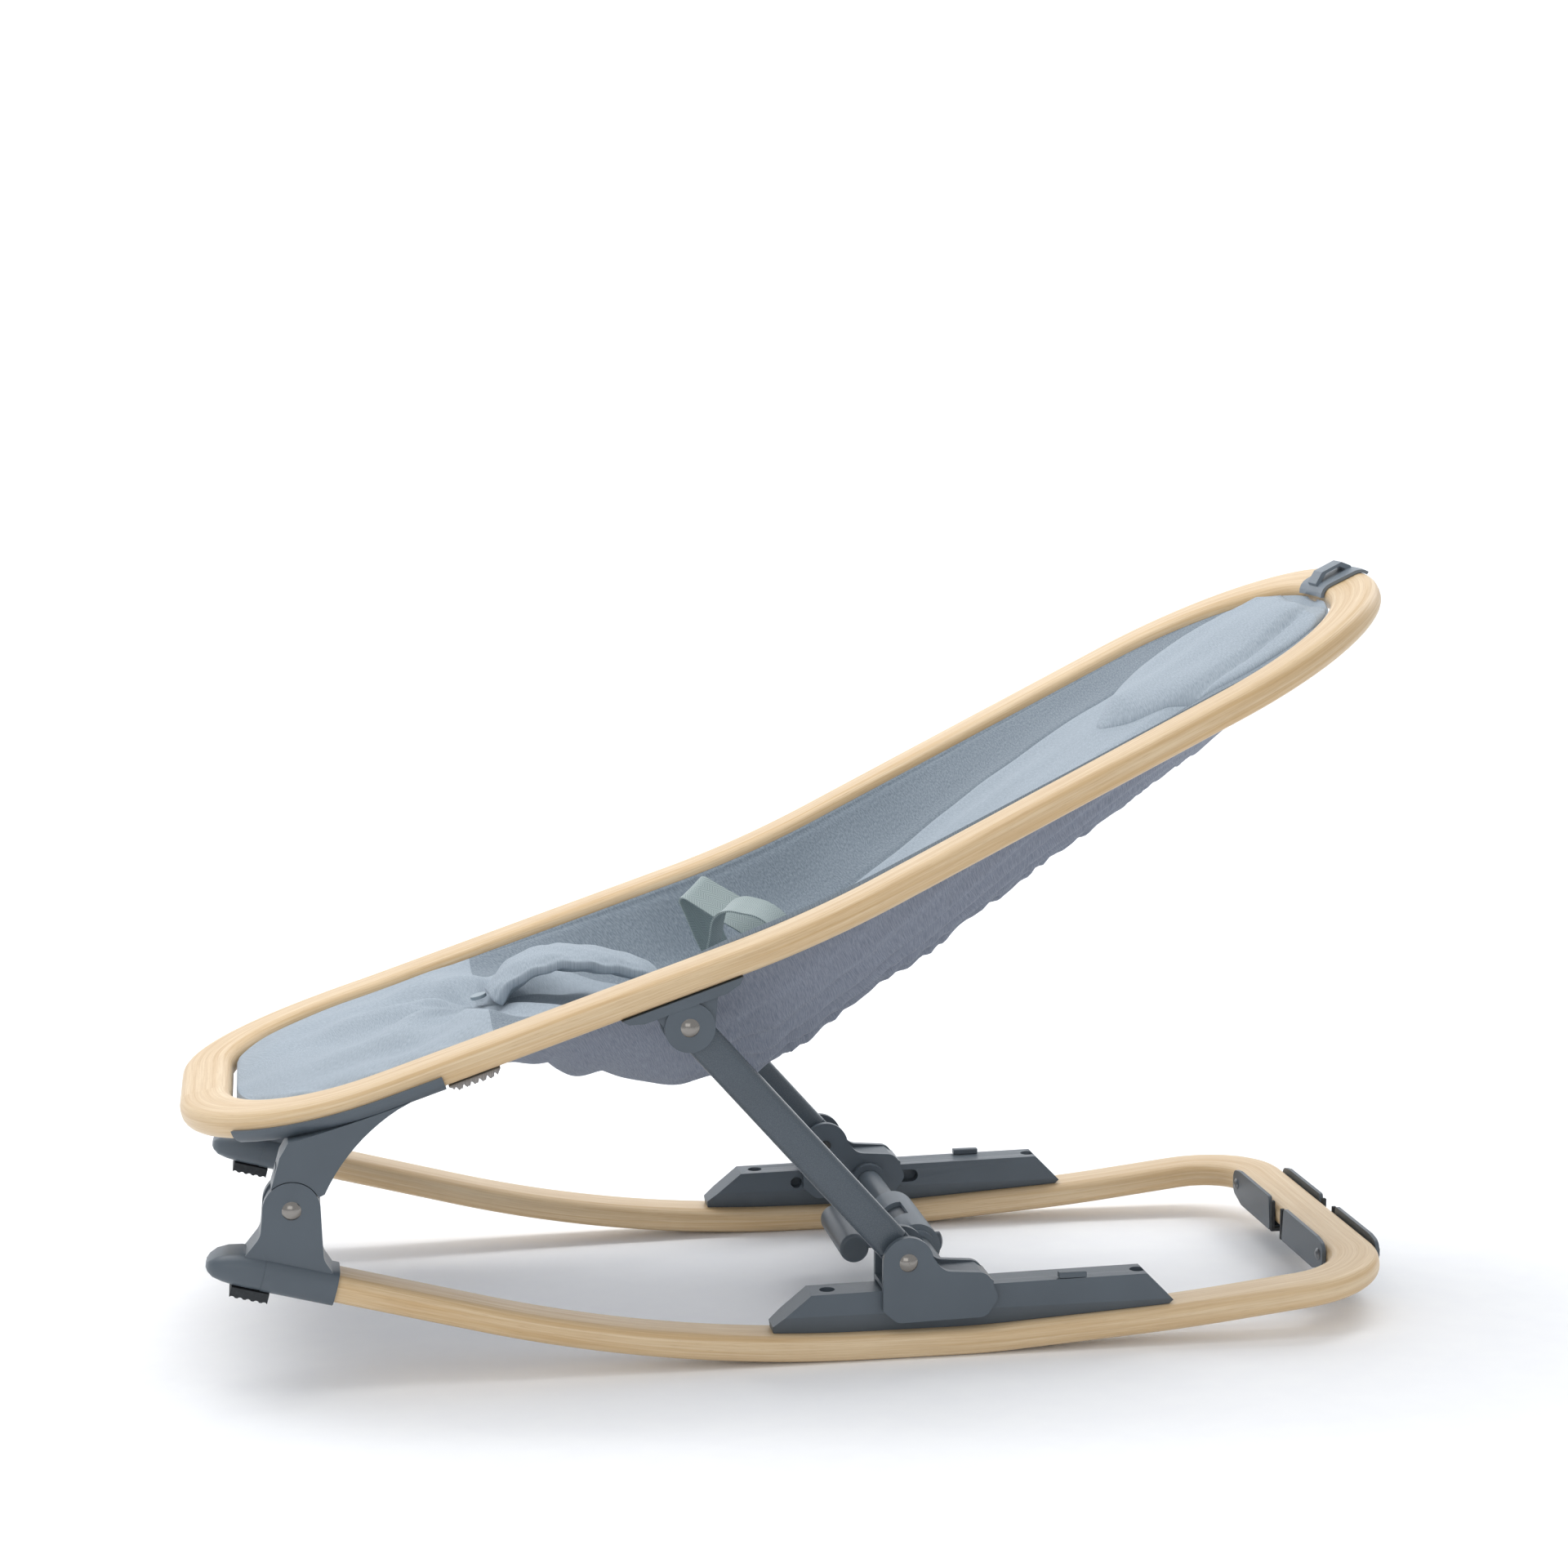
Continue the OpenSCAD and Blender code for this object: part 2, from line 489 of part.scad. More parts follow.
// Height of the rolled rim that the liner has along its left edge
function rim(u) = lookup(u / ring_len, [[0.28, 0], [0.34, 6], [0.42, 13], [0.7, 11], [0.85, 10], [0.93, 0]]);
sling_z = function (u, t) ring_at(u).y - 5 - sling_depth(u) * (1 - pow(abs(t), 3.2));
liner_z = function (u, t) ring_at(u).y + 4 - (liner_depth(u) + 4) * (1 - pow(abs(t), 3.6))
  + (t < 0 ? rim(u) * pow(-t, 12) : 0);
// Underside of the padded liner: it rests on the cloth near the ring and hangs clear in the middle
liner_low = function (u, t) max(sling_z(u, t) + sling_t + 1.2, liner_z(u, t) - liner_t);
// Points across the seat at length u, from left to right, on a surface z(u, t) raised by up
across = 12;
function row(u, half, z, up) = [for (j = [0:across])
  let (t = sin(-90 + 180 * j / across)) [ring_at(u).x, t * half, z(u, t) + up]];
function backwards(p) = [for (i = [len(p) - 1:-1:0]) p[i]];
module layer(k0, k1, n, low, low_up, high, high_up) {
  loft([for (i = [0:n]) let (k = k0 + (k1 - k0) * (1 - cos(180 * i / n)) / 2, u = span(k))
    concat(row(u, inner_half(u), low, low_up), backwards(row(u, inner_half(u), high, high_up)))]);
}
// Hanging cloth seat, clipped into the ring all round
module seat_sling() { color("slategray") layer(0, 1, 26, sling_z, 0, sling_z, sling_t); }
// Padded liner that lies in the cloth seat
module seat_liner() {
  color("lightsteelblue") layer(0, 1, 26, liner_low, 0, liner_z, 0);
}
// Raised pad for the head, on the liner
pillow_u0 = 0.78 * ring_len;
pillow_u1 = 0.955 * ring_len;
function pillow_half(k) = 20 + 62 * sin(90 * min(1, k * 1.9)) * sqrt(max(0.01, 1 - pow(k, 6)));
module head_pillow() {
  n = 14;
  color("lightsteelblue") loft([for (i = [0:n])
    let (k = i / n, u = pillow_u0 + (pillow_u1 - pillow_u0) * k, w = pillow_half(k),
         puff = 11 * pow(sin(8 + 164 * k), 0.5))
    concat([for (j = [0:10]) let (y = w * (j / 5 - 1))
        [ring_at(u).x, y, liner_z(u, y / inner_half(u)) + 0.5]],
      [for (j = [10:-1:0]) let (t = j / 5 - 1, y = w * t)
        [ring_at(u).x, y, liner_z(u, y / inner_half(u)) + 1.5 + puff * sqrt(max(0, 1 - t * t))]])]);
}
// Height of the padded top on the middle plane at x
function seat_top(x) = liner_z(ring_u(x), 0);
crotch_x = -214;
// Padded crotch piece, folded over, and the button that closes it
module crotch_strap() {
  color("lightsteelblue") sweep_strip([[14, -16], [44, -48], [52, -14], [44, -72]],
    [crotch_x, seat_top(crotch_x) + 5, 62], 0, 66, 8, 16, 3.5);
}
module snap_button() {
  x = crotch_x - 12;
  color("gray") translate([x, 0, seat_top(x) + 0.6]) rotate([0, -16, 0]) cylinder(r = 6, h = 2.6);
}
// Waist webbing: each strap comes up from the middle of the seat, folds over and goes down to the
// left wall of the liner. Fold's corner, direction across the webbing, direction of its front part,
// and the stretches from the lower end on.
strap_fold = [[-80, -25, 301], [-66, -87, 296]];
strap_axis = [unit([0.705, 0.452, 0.546]), unit([0.541, 0.803, 0.248])];
strap_up = [unit([-0.388, -0.397, 0.832]), unit([0.118, -0.363, 0.924])];
strap_rise = [92, 78];
strap_way = [[[strap_rise[LEFT], 0], [14, -110], [44, 0], [30, -30], [12, 0]],
             [[strap_rise[RIGHT], 0], [26, -82], [10, 0], [34, -70], [4, 0]]];
module waist_strap(which) {
  w = strap_axis[which];
  up = strap_up[which];
  ahead = cross(w, up);
  n = 24;
  whole = total(strap_way[which]);
  foot = strap_fold[which] - up * strap_rise[which];
  section = round_rect(webbing_w, webbing_t, 0.4, 1);
  color("cadetblue") loft([for (i = [0:n]) let (p = walk(strap_way[which], whole * i / n, [0, 0, 90]))
    [for (q = section) foot + ahead * (p.x - q.y * sin(p[2])) + up * (p.y + q.y * cos(p[2]))
                       + w * (q.x + webbing_w / 2)]]);
}
// Buckle of the harness, lying on the liner
module on_buckle() { translate([-22, -28, seat_top(-22) + 11]) rotate([0, -25, 0]) children(); }
module buckle_socket() {
  color("dimgray") on_buckle() difference() {
    bar(38, 30, 11, 4);
    translate([-1, 0, 0]) bar(20, 23, 6, 1);
  }
}
module buckle_tongue() {
  color("dimgray") on_buckle() {
    translate([-16, 0, 0]) bar(15.5, 30, 9, 4);
    for (y = [-7, 0, 7]) translate([-2, y, 0]) bar(18, 5, 4, 1);
  }
}
// Cloth tab of the liner, gathered under the ring behind the front bracket
tab_t = 5;
module liner_tab(which) {
  color("slategray") hand(which) sweep_ring([for (i = [0:3]) [bracket_end + 2 + 12 * i, -ring_half, 0]],
    [for (q = round_rect(24, tab_t, 1.8)) [q.x, q.y - (wood_t + tab_t) / 2 - fit_gap]]);
}
// Moulded saddle over the head end, with a loop for a toy or a cover
module head_clip() {
  wall = 2.4;
  r0 = wood_r + fit_gap + 0.3;
  right_c = [wood_w / 2 - wood_r, wood_t / 2 - wood_r];
  left_c = [-wood_w / 2 + wood_r, wood_t / 2 - wood_r];
  saddle = concat(arc(right_c, r0 + wall, 22, 90, 4), arc(left_c, r0 + wall, 90, 150, 4),
                  arc(left_c, r0, 150, 90, 4), arc(right_c, r0, 90, 22, 4));
  top = wood_t / 2 - wood_r + r0 + wall;
  p = ring_at(ring_len);
  color("lightslategray") translate([p.x, 0, p.y]) rotate([0, -p[2], 0]) {
    upright(-ring_head_c, ring_head_c, [for (q = saddle) [-q.x, q.y]]);
    for (s = [0, 1]) mirror([0, s, 0]) translate([-ring_head_r, ring_head_c - 0.01, 0])
      rotate_extrude(angle = 6) polygon([for (q = saddle) [ring_head_r - q.x, q.y]]);
    difference() {
      upright(-9, 9, [[-16, top - 1], [14, top - 1], [14, top + 1], [9, top + 6.5], [-8, top + 6.5],
        [-16, top + 1]]);
      upright(-12, 12, [[-11, top - 0.4], [9, top - 0.4], [9, top + 1], [6, top + 4.3],
        [-5.5, top + 4.3], [-11, top + 1]]);
    }
  }
}

// ---- links ----
module on_link(which) {
  hand(which) translate([upper_c.x, mech_y, upper_c.y]) rotate([0, -link_angle, 0]) children();
}
tube_end = 13;
plug_len = 18;
module link(which) {
  color("dimgray") on_link(which) translate([tube_end, 0, 0]) rotate([90, 0, 90])
    linear_extrude(link_len - 2 * tube_end) difference() {
      polygon(round_rect(link_t, link_w, 5, 5));
      polygon(round_rect(link_t - 2 * link_wall, link_w - 2 * link_wall, 3.4, 5));
    }
}
// Moulded end of a link: an eye with a plug that fits the tube
module link_end(hole_r) {
  difference() {
    union() {
      rotate([90, 0, 0]) cylinder(r = link_w / 2, h = link_t, center = true);
      bar(tube_end - 0.1, link_t, link_w, 1);
      translate([tube_end - 0.2, 0, 0])
        bar(plug_len, link_t - 2 * link_wall - 2 * fit_gap, link_w - 2 * link_wall - 2 * fit_gap, 3.2);
    }
    rotate([90, 0, 0]) cylinder(r = hole_r, h = link_t + 2, center = true);
  }
}
module link_head(which) { color("dimgray") on_link(which) link_end(pin_r + pin_gap); }
module link_foot(which) {
  color("dimgray") on_link(which) translate([link_len, 0, 0]) rotate([0, 180, 0])
    link_end(pin_r + foot_play);
}

// ---- carriage ----
// Bosses inside the carriage's cheeks stop short of the link
foot_boss_r = 13;
carriage_x0 = foot_c.x - 18;
carriage_x1 = 124;
deck_t = 3.4;
collar_len = 8;
module carriage(which) {
  deck_low = track_z(carriage_x1) + pass_gap;
  cheek = rounded([[carriage_x0, 36, 3], [51, 27, 9], [115, 28.5, 9], [carriage_x1, 42, 8],
                   [116, 60.5, 10], [84, 63, 12], [76.2, 74, 0], [foot_c.x, foot_c.y, 0],
                   [carriage_x0, foot_c.y, 0]]);
  in_cheek = [-base_half + carriage_half, -base_half + carriage_out];
  out_cheek = [-base_half - carriage_out, -base_half - carriage_half];
  link_face = [mech_y - clevis_half, mech_y + clevis_half];
  color("dimgray") hand(which) difference() {
    union() {
      for (y = [in_cheek, out_cheek]) {
        upright(y[0], y[1], cheek);
        rod(foot_c, boss_r + 0.5, y[0], y[1]);
      }
      rod(foot_c, foot_boss_r, out_cheek[0], link_face[0]);
      rod(foot_c, foot_boss_r, link_face[1], in_cheek[1]);
      upright(out_cheek[0], in_cheek[1], [[carriage_x0, deck_low], [carriage_x1 - 4, deck_low],
        [carriage_x1 - 4, deck_low + deck_t], [112, 60], [86, 60], [78, deck_low + deck_t],
        [carriage_x0, deck_low + deck_t]]);
      rod(tube_c, tube_r + 4.5, in_cheek[1] - 0.01, in_cheek[1] + collar_len);
    }
    rod(foot_c, pin_r + pin_gap, -base_half - 40, -base_half + 40);
    rod(tube_c, tube_r + pin_gap, in_cheek[1], in_cheek[1] + collar_len + 1);
    rod(tube_c, lock_r + pin_gap, in_cheek[0] - 1, in_cheek[1] + 1);
  }
}
module carriage_pin(which) {
  color("silver") hand(which)
    pin_with_head(foot_c, -base_half - carriage_out - 0.1, -base_half + carriage_out + 1);
}
tube_half = base_half - carriage_out - 0.2;
spring_y = [tube_half - 12, tube_half - 38];
// Tube that ties the two carriages together and carries the lock pins
module cross_tube() {
  color("gray") difference() {
    rod(tube_c, tube_r, -tube_half, tube_half);
    for (s = [-1, 1]) rod(tube_c, tube_r - 2, min(s * spring_y[1], s * (tube_half + 1)),
                          max(s * spring_y[1], s * (tube_half + 1)));
    rod(tube_c, 2.6, -tube_half, tube_half);
  }
}
hub_half = 15;
hub_r = housing_r - 3.4;
button_y = -31;
button_r = 7;
// Housing of the release at the middle of the cross tube
module release_housing() {
  color("lightslategray") difference() {
    union() {
      rod(tube_c, housing_r, -housing_len / 2, housing_len / 2);
      for (s = [-1, 1]) rod(tube_c, tube_r + 4, s * housing_len / 2 - 5, s * housing_len / 2 + 5);
    }
    rod(tube_c, tube_r + pin_gap, -housing_len, housing_len);
    rod(tube_c, hub_r + pass_gap, -hub_half - pass_gap, hub_half + pass_gap);
    translate([tube_c.x - housing_r - 2, -hub_half - pass_gap, tube_c.y - 9])
      cube([housing_r + 2, 2 * hub_half + 2 * pass_gap, 27]);
    translate([tube_c.x + tube_r + 2, button_y, tube_c.y]) rotate([0, 90, 0])
      cylinder(r = button_r + 0.3, h = 20);
  }
}
grip_reach = 46;
module release_lever() {
  color("dimgray") difference() {
    union() {
      rod(tube_c, hub_r, -hub_half, hub_half);
      translate([tube_c.x - grip_reach, -hub_half, tube_c.y - 8]) cube([grip_reach - 8, 2 * hub_half, 9]);
      translate([tube_c.x - grip_reach, 0, tube_c.y]) rotate([90, 0, 0]) {
        cylinder(r = grip_r, h = grip_len - 6, center = true);
        for (s = [0, 180]) rotate([s, 0, 0]) translate([0, 0, grip_len / 2 - 3])
          rotate_extrude()
            polygon(concat([[0, -0.01], [grip_r, -0.01]], arc([grip_r - 3, 0], 3, 0, 90, 5), [[0, 3]]));
      }
    }
    rod(tube_c, tube_r + pin_gap, -hub_half - 1, hub_half + 1);
  }
}
module release_button() {
  color("dimgray") translate([tube_c.x + tube_r + 5.6, button_y, tube_c.y]) rotate([0, 90, 0]) {
    cylinder(r = button_r, h = housing_r - tube_r - 3);
    translate([0, 0, housing_r - tube_r - 3.01]) intersection() {
      translate([0, 0, -10]) sphere(r = 12.2);
      cylinder(r = button_r, h = 3);
    }
  }
}
lock_tip = base_half - track_w / 2 + 6;
lock_collar = [spring_y[0] + 3, spring_y[0]];
module lock_pin(which) {
  color("silver") hand(which) {
    rod(tube_c, lock_r, -lock_tip, -lock_collar[1]);
    rod(tube_c, tube_r - 2.3, -lock_collar[0], -lock_collar[1]);
    rod(tube_c, 2, -lock_collar[1] - 0.01, -hub_half - 14);
  }
}
spring_r = 5.6;
spring_wire = 0.7;
spring_coils = 6;
// Coil spring that pushes the lock pin outwards
module lock_spring(which) {
  n = spring_coils * 12;
  y0 = -spring_y[0] + 0.9;
  y1 = -spring_y[1] - 0.9;
  color("silver") hand(which) loft([for (i = [0:n])
    let (a = 360 * i / 12, y = y0 + (y1 - y0) * i / n)
    [for (k = [0:5]) let (r = spring_r + spring_wire * cos(60 * k))
      [tube_c.x + r * sin(a), y - spring_wire * sin(60 * k), tube_c.y + r * cos(a)]]]);
}

// ---- rear stands ----
stand_gap = 0.7;
stand_in = wood_w / 2 + stand_gap;
stand_low = wood_t / 2 + 1.7;
stand_top = wood_t / 2 + 2.4;
module on_stand(which) { hand(which) translate([rear_c.x, -stand_pivot_y, rear_c.y]) children(); }
// Folded stand that hugs the rear of the base and swings down about its bolt
module rear_stand(which) {
  plate = rounded([[-9.5, 9.5, 8], [6, stand_top, 3], [stand_len, stand_top, 3],
                   [stand_len + 4, -stand_low - stand_wall, 3], [12, -stand_low - stand_wall, 4],
                   [-9.5, -8, 8]]);
  color("dimgray") on_stand(which) difference() {
    union() {
      for (x = [-stand_in - stand_wall, stand_in])
        translate([x, 0, 0]) rotate([90, 0, 90]) linear_extrude(stand_wall) polygon(plate);
      translate([-stand_in - stand_wall, 13, -stand_low - stand_wall])
        cube([2 * (stand_in + stand_wall), stand_len - 11, stand_wall]);
    }
    translate([-wood_w, 0, 0]) rotate([0, 90, 0]) cylinder(r = stand_bolt_r + pin_gap, h = 2 * wood_w);
  }
}
// Rubber edge on the free end of the stand
module stand_foot(which) {
  out = stand_in + stand_wall;
  tall = stand_top + stand_low + stand_wall;
  color("darkslategray") on_stand(which) translate([-out, stand_len + 4.2, -stand_low - stand_wall])
    difference() {
      cube([2 * out, 4, tall - 2]);
      translate([stand_wall, -1, stand_wall]) cube([2 * stand_in, 6, tall]);
    }
}

base_frame();
front_cap(LEFT);  // front_cap_left
front_cap(RIGHT);  // front_cap_right
foot_pad(LEFT);  // foot_pad_left
foot_pad(RIGHT);  // foot_pad_right
front_hinge_pin(LEFT);  // front_hinge_pin_left
front_hinge_pin(RIGHT);  // front_hinge_pin_right
rail_screws();
track(LEFT);  // track_left
track(RIGHT);  // track_right
track_stop(LEFT);  // track_stop_left
track_stop(RIGHT);  // track_stop_right
track_screws();
stand_bolt(LEFT);  // stand_bolt_left
stand_bolt(RIGHT);  // stand_bolt_right
seat_ring();
front_bracket(LEFT);  // front_bracket_left
front_bracket(RIGHT);  // front_bracket_right
upper_bracket(LEFT);  // upper_bracket_left
upper_bracket(RIGHT);  // upper_bracket_right
upper_pin(LEFT);  // upper_pin_left
upper_pin(RIGHT);  // upper_pin_right
bracket_screws();
seat_sling();
seat_liner();
head_pillow();
crotch_strap();
snap_button();
waist_strap(LEFT);  // waist_strap_left
waist_strap(RIGHT);  // waist_strap_right
buckle_tongue();
buckle_socket();
liner_tab(LEFT);  // liner_tab_left
liner_tab(RIGHT);  // liner_tab_right
head_clip();
link(LEFT);  // link_left
link(RIGHT);  // link_right
link_head(LEFT);  // link_head_left
link_head(RIGHT);  // link_head_right
link_foot(LEFT);  // link_foot_left
link_foot(RIGHT);  // link_foot_right
carriage(LEFT);  // carriage_left
carriage(RIGHT);  // carriage_right
carriage_pin(LEFT);  // carriage_pin_left
carriage_pin(RIGHT);  // carriage_pin_right
cross_tube();
release_housing();
release_lever();
release_button();
lock_pin(LEFT);  // lock_pin_left
lock_pin(RIGHT);  // lock_pin_right
lock_spring(LEFT);  // lock_spring_left
lock_spring(RIGHT);  // lock_spring_right
rear_stand(LEFT);  // rear_stand_left
rear_stand(RIGHT);  // rear_stand_right
stand_foot(LEFT);  // stand_foot_left
stand_foot(RIGHT);  // stand_foot_right
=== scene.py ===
# %% [markdown]
# # Bouncer seat: the looks
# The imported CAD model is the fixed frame. This script gives every visible piece its real surface: bent
# oak strips, slate-grey moulded plastic, steel pins, and cloth with its folds, seams and webbing.

# %%
import bpy
import json
import math
import numpy as np
from mathutils import Matrix, Vector


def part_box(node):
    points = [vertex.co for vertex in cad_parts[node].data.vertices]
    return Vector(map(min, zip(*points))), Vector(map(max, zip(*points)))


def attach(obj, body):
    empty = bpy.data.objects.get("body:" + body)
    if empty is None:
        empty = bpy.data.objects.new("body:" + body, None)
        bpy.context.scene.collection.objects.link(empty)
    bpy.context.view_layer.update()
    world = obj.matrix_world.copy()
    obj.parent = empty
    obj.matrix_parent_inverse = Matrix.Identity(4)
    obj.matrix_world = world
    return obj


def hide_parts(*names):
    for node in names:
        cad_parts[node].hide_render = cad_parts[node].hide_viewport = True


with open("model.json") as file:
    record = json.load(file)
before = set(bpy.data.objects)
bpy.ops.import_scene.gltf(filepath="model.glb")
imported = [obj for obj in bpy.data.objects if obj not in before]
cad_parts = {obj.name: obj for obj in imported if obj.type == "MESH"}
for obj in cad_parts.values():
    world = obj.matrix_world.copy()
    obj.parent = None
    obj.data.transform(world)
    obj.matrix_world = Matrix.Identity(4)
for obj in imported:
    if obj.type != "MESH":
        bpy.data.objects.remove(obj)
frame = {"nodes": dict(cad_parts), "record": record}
nodes = frame["nodes"]
body_of_node = {n: b for b, names in frame["record"]["behaviour"]["bodies"].items() for n in names}
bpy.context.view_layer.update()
rng = np.random.default_rng(7)

# %% [markdown]
# ## Camera, floor and light
# A long lens a little over two metres away, low, and turned a few degrees towards the head end. A large
# soft light from above and in front and a white surround leave only a soft shadow on the floor.

# %%
def aim(azimuth, elevation):
    a, e = math.radians(azimuth), math.radians(elevation)
    return Vector((math.sin(a) * math.cos(e), math.cos(a) * math.cos(e), -math.sin(e)))

cam_data = bpy.data.cameras.new("camera")
cam_data.lens = 71.25
cam_data.sensor_width = 36
cam_data.clip_start = 0.05
camera = bpy.data.objects.new("camera", cam_data)
bpy.context.scene.collection.objects.link(camera)
camera.location = (-0.37525, -2.2347, 0.7087)
camera.rotation_euler = aim(9.55, 8.142).to_track_quat("-Z", "Y").to_euler()
bpy.context.scene.camera = camera

def mesh_object(name, verts, faces, smooth=True):
    mesh = bpy.data.meshes.new(name)
    mesh.from_pydata([tuple(v) for v in verts], [], [tuple(f) for f in faces])
    mesh.validate()
    if smooth:
        mesh.shade_smooth()
    ob = bpy.data.objects.new(name, mesh)
    bpy.context.scene.collection.objects.link(ob)
    return ob

def cove():
    """A floor that curves up into a back wall, so that no horizon shows."""
    line = [(-6.0, 0.0), (2.6, 0.0)] + [(2.6 + 1.6 * math.sin(math.radians(a)), 1.6 - 1.6 * math.cos(math.radians(a)))
                                        for a in range(9, 91, 9)] + [(4.2, 7.0)]
    verts = [(x, y, z) for y, z in line for x in (-9.0, 9.0)]
    faces = [(2 * i, 2 * i + 1, 2 * i + 3, 2 * i + 2) for i in range(len(line) - 1)]
    return mesh_object("floor", verts, faces)

floor = cove()

def area_light(name, location, target, size, power):
    data = bpy.data.lights.new(name, "AREA")
    data.shape = "RECTANGLE"
    data.size, data.size_y = size
    data.energy = power
    ob = bpy.data.objects.new(name, data)
    ob.location = location
    ob.rotation_euler = (Vector(target) - Vector(location)).to_track_quat("-Z", "Y").to_euler()
    bpy.context.scene.collection.objects.link(ob)
    return ob

area_light("key", (-0.9, 0.3, 2.5), (0, 0, 0.2), (2.2, 1.8), 27)
area_light("front_fill", (-1.0, -2.9, 1.3), (0, 0, 0.25), (2.2, 1.4), 9)
area_light("edge", (1.5, 0.9, 1.6), (0, 0, 0.25), (0.7, 1.6), 9)
area_light("backdrop", (0.0, 1.4, 3.4), (0.0, 4.0, 1.2), (5.0, 1.6), 90)

def hex_linear(code):
    """A colour written as #rrggbb in sRGB, as linear RGBA."""
    parts = [int(code[i:i + 2], 16) / 255 for i in (1, 3, 5)]
    return [c / 12.92 if c <= 0.04045 else ((c + 0.055) / 1.055) ** 2.4 for c in parts] + [1]

world = bpy.data.worlds.new("surround")
world.use_nodes = True
world.node_tree.nodes["Background"].inputs["Color"].default_value = hex_linear("#f6f8fb")
world.node_tree.nodes["Background"].inputs["Strength"].default_value = 0.72
bpy.context.scene.world = world
bpy.context.scene.view_settings.view_transform = "Standard"

# %% [markdown]
# ## Material tools
# Small helpers put a node in a tree and wire it. Pattern sizes are in millimetres.

# %%
class Tree:
    """A material's node tree, with short calls for the nodes that the materials below use."""
    def __init__(self, name):
        self.material = bpy.data.materials.new(name)
        self.material.use_nodes = True
        self.tree = self.material.node_tree
        self.shader = self.tree.nodes["Principled BSDF"]

    def add(self, kind, inputs=None, **settings):
        node = self.tree.nodes.new(kind)
        for key, value in settings.items():
            setattr(node, key, value)
        for key, value in (inputs or {}).items():
            if isinstance(value, bpy.types.NodeSocket):
                self.tree.links.new(value, node.inputs[key])
            else:
                node.inputs[key].default_value = value
        return node

    def place(self, source, stretch):
        """Coordinates from the given source, scaled to cycles per metre along each axis."""
        coords = self.add("ShaderNodeTexCoord")
        return self.add("ShaderNodeMapping", {"Vector": coords.outputs[source], "Scale": stretch}).outputs[0]

    def noise(self, vector, scale=1.0, detail=3.0, rough=0.55, distortion=0.0):
        return self.add("ShaderNodeTexNoise", {"Vector": vector, "Scale": scale, "Detail": detail,
                        "Roughness": rough, "Distortion": distortion}).outputs["Fac"]

    def remap(self, value, low, high, to_low, to_high):
        return self.add("ShaderNodeMapRange", {"Value": value, "From Min": low, "From Max": high,
                        "To Min": to_low, "To Max": to_high}).outputs[0]

    def math(self, operation, a, b=0.0):
        return self.add("ShaderNodeMath", {0: a, 1: b}, operation=operation).outputs[0]

    def blend(self, factor, a, b, mode="MIX"):
        node = self.add("ShaderNodeMix", data_type="RGBA", blend_type=mode)
        for socket, value in ((node.inputs[0], factor), (node.inputs[6], a), (node.inputs[7], b)):
            if isinstance(value, bpy.types.NodeSocket):
                self.tree.links.new(value, socket)
            else:
                socket.default_value = value
        return node.outputs[2]

    def bump(self, height, strength, distance):
        return self.add("ShaderNodeBump", {"Height": height, "Strength": strength, "Distance": distance}).outputs[0]

    def finish(self, **inputs):
        for key, value in inputs.items():
            socket = self.shader.inputs[key.replace("_", " ")]
            if isinstance(value, bpy.types.NodeSocket):
                self.tree.links.new(value, socket)
            else:
                socket.default_value = value
        return self.material

# %% [markdown]
# ## The materials
# Oak gets long fibres, growth bands and open pores that follow the strip. Plastic gets a fine spark-eroded
# texture. Cloth gets a melange of light and dark yarn and a knit relief.

# %%
def make_oak(name, pale, mid, dark):
    # Clear-lacquered bent oak laminate, grain along the strip
    t = Tree(name)
    flow = t.place("UV", (1, 1, 1))
    slow = t.add("ShaderNodeMapping", {"Vector": flow, "Scale": (3.2, 210, 1)}).outputs[0]
    bands = t.noise(slow, 1.0, 4.0, 0.6, 0.5)
    fine = t.add("ShaderNodeMapping", {"Vector": flow, "Scale": (16, 950, 1)}).outputs[0]
    fibre = t.noise(fine, 1.0, 4.0, 0.65)
    pore_at = t.add("ShaderNodeMapping", {"Vector": flow, "Scale": (75, 2300, 1)}).outputs[0]
    pores = t.remap(t.noise(pore_at, 1.0, 1.0, 0.5), 0.63, 0.74, 0.0, 1.0)
    cloud = t.noise(t.place("Object", (4, 4, 4)), 1.0, 2.0, 0.5)
    colour = t.blend(t.remap(bands, 0.36, 0.64, 0.0, 1.0), hex_linear(pale), hex_linear(mid))
    colour = t.blend(t.remap(fibre, 0.40, 0.70, 0.0, 0.5), colour, hex_linear(dark))
    colour = t.blend(t.math("MULTIPLY", pores, 0.45), colour, hex_linear("#a88455"))
    colour = t.blend(t.remap(cloud, 0.35, 0.7, 0.0, 0.22), colour, hex_linear("#efdcbd"))
    relief = t.math("SUBTRACT", t.math("MULTIPLY", fibre, 0.35), pores)
    return t.finish(Base_Color=colour, Roughness=t.remap(fibre, 0.3, 0.7, 0.36, 0.5),
                    Normal=t.bump(relief, 0.25, 0.00012), Coat_Weight=0.12, Coat_Roughness=0.3)

def make_plastic(name, shade, rough):
    # Injection-moulded polymer with a fine spark-eroded texture and slight sink variation
    t = Tree(name)
    grain = t.noise(t.place("Object", (1, 1, 1)), 2600, 2.0, 0.6)
    patch = t.noise(t.place("Object", (1, 1, 1)), 22, 2.0, 0.5)
    base = hex_linear(shade)
    light = [min(1, c * 1.16) for c in base[:3]] + [1]
    colour = t.blend(t.remap(patch, 0.35, 0.7, 0.0, 0.6), base, light)
    return t.finish(Base_Color=colour, Roughness=t.remap(grain, 0.3, 0.7, rough - 0.05, rough + 0.06),
                    Normal=t.bump(grain, 0.35, 0.00008))

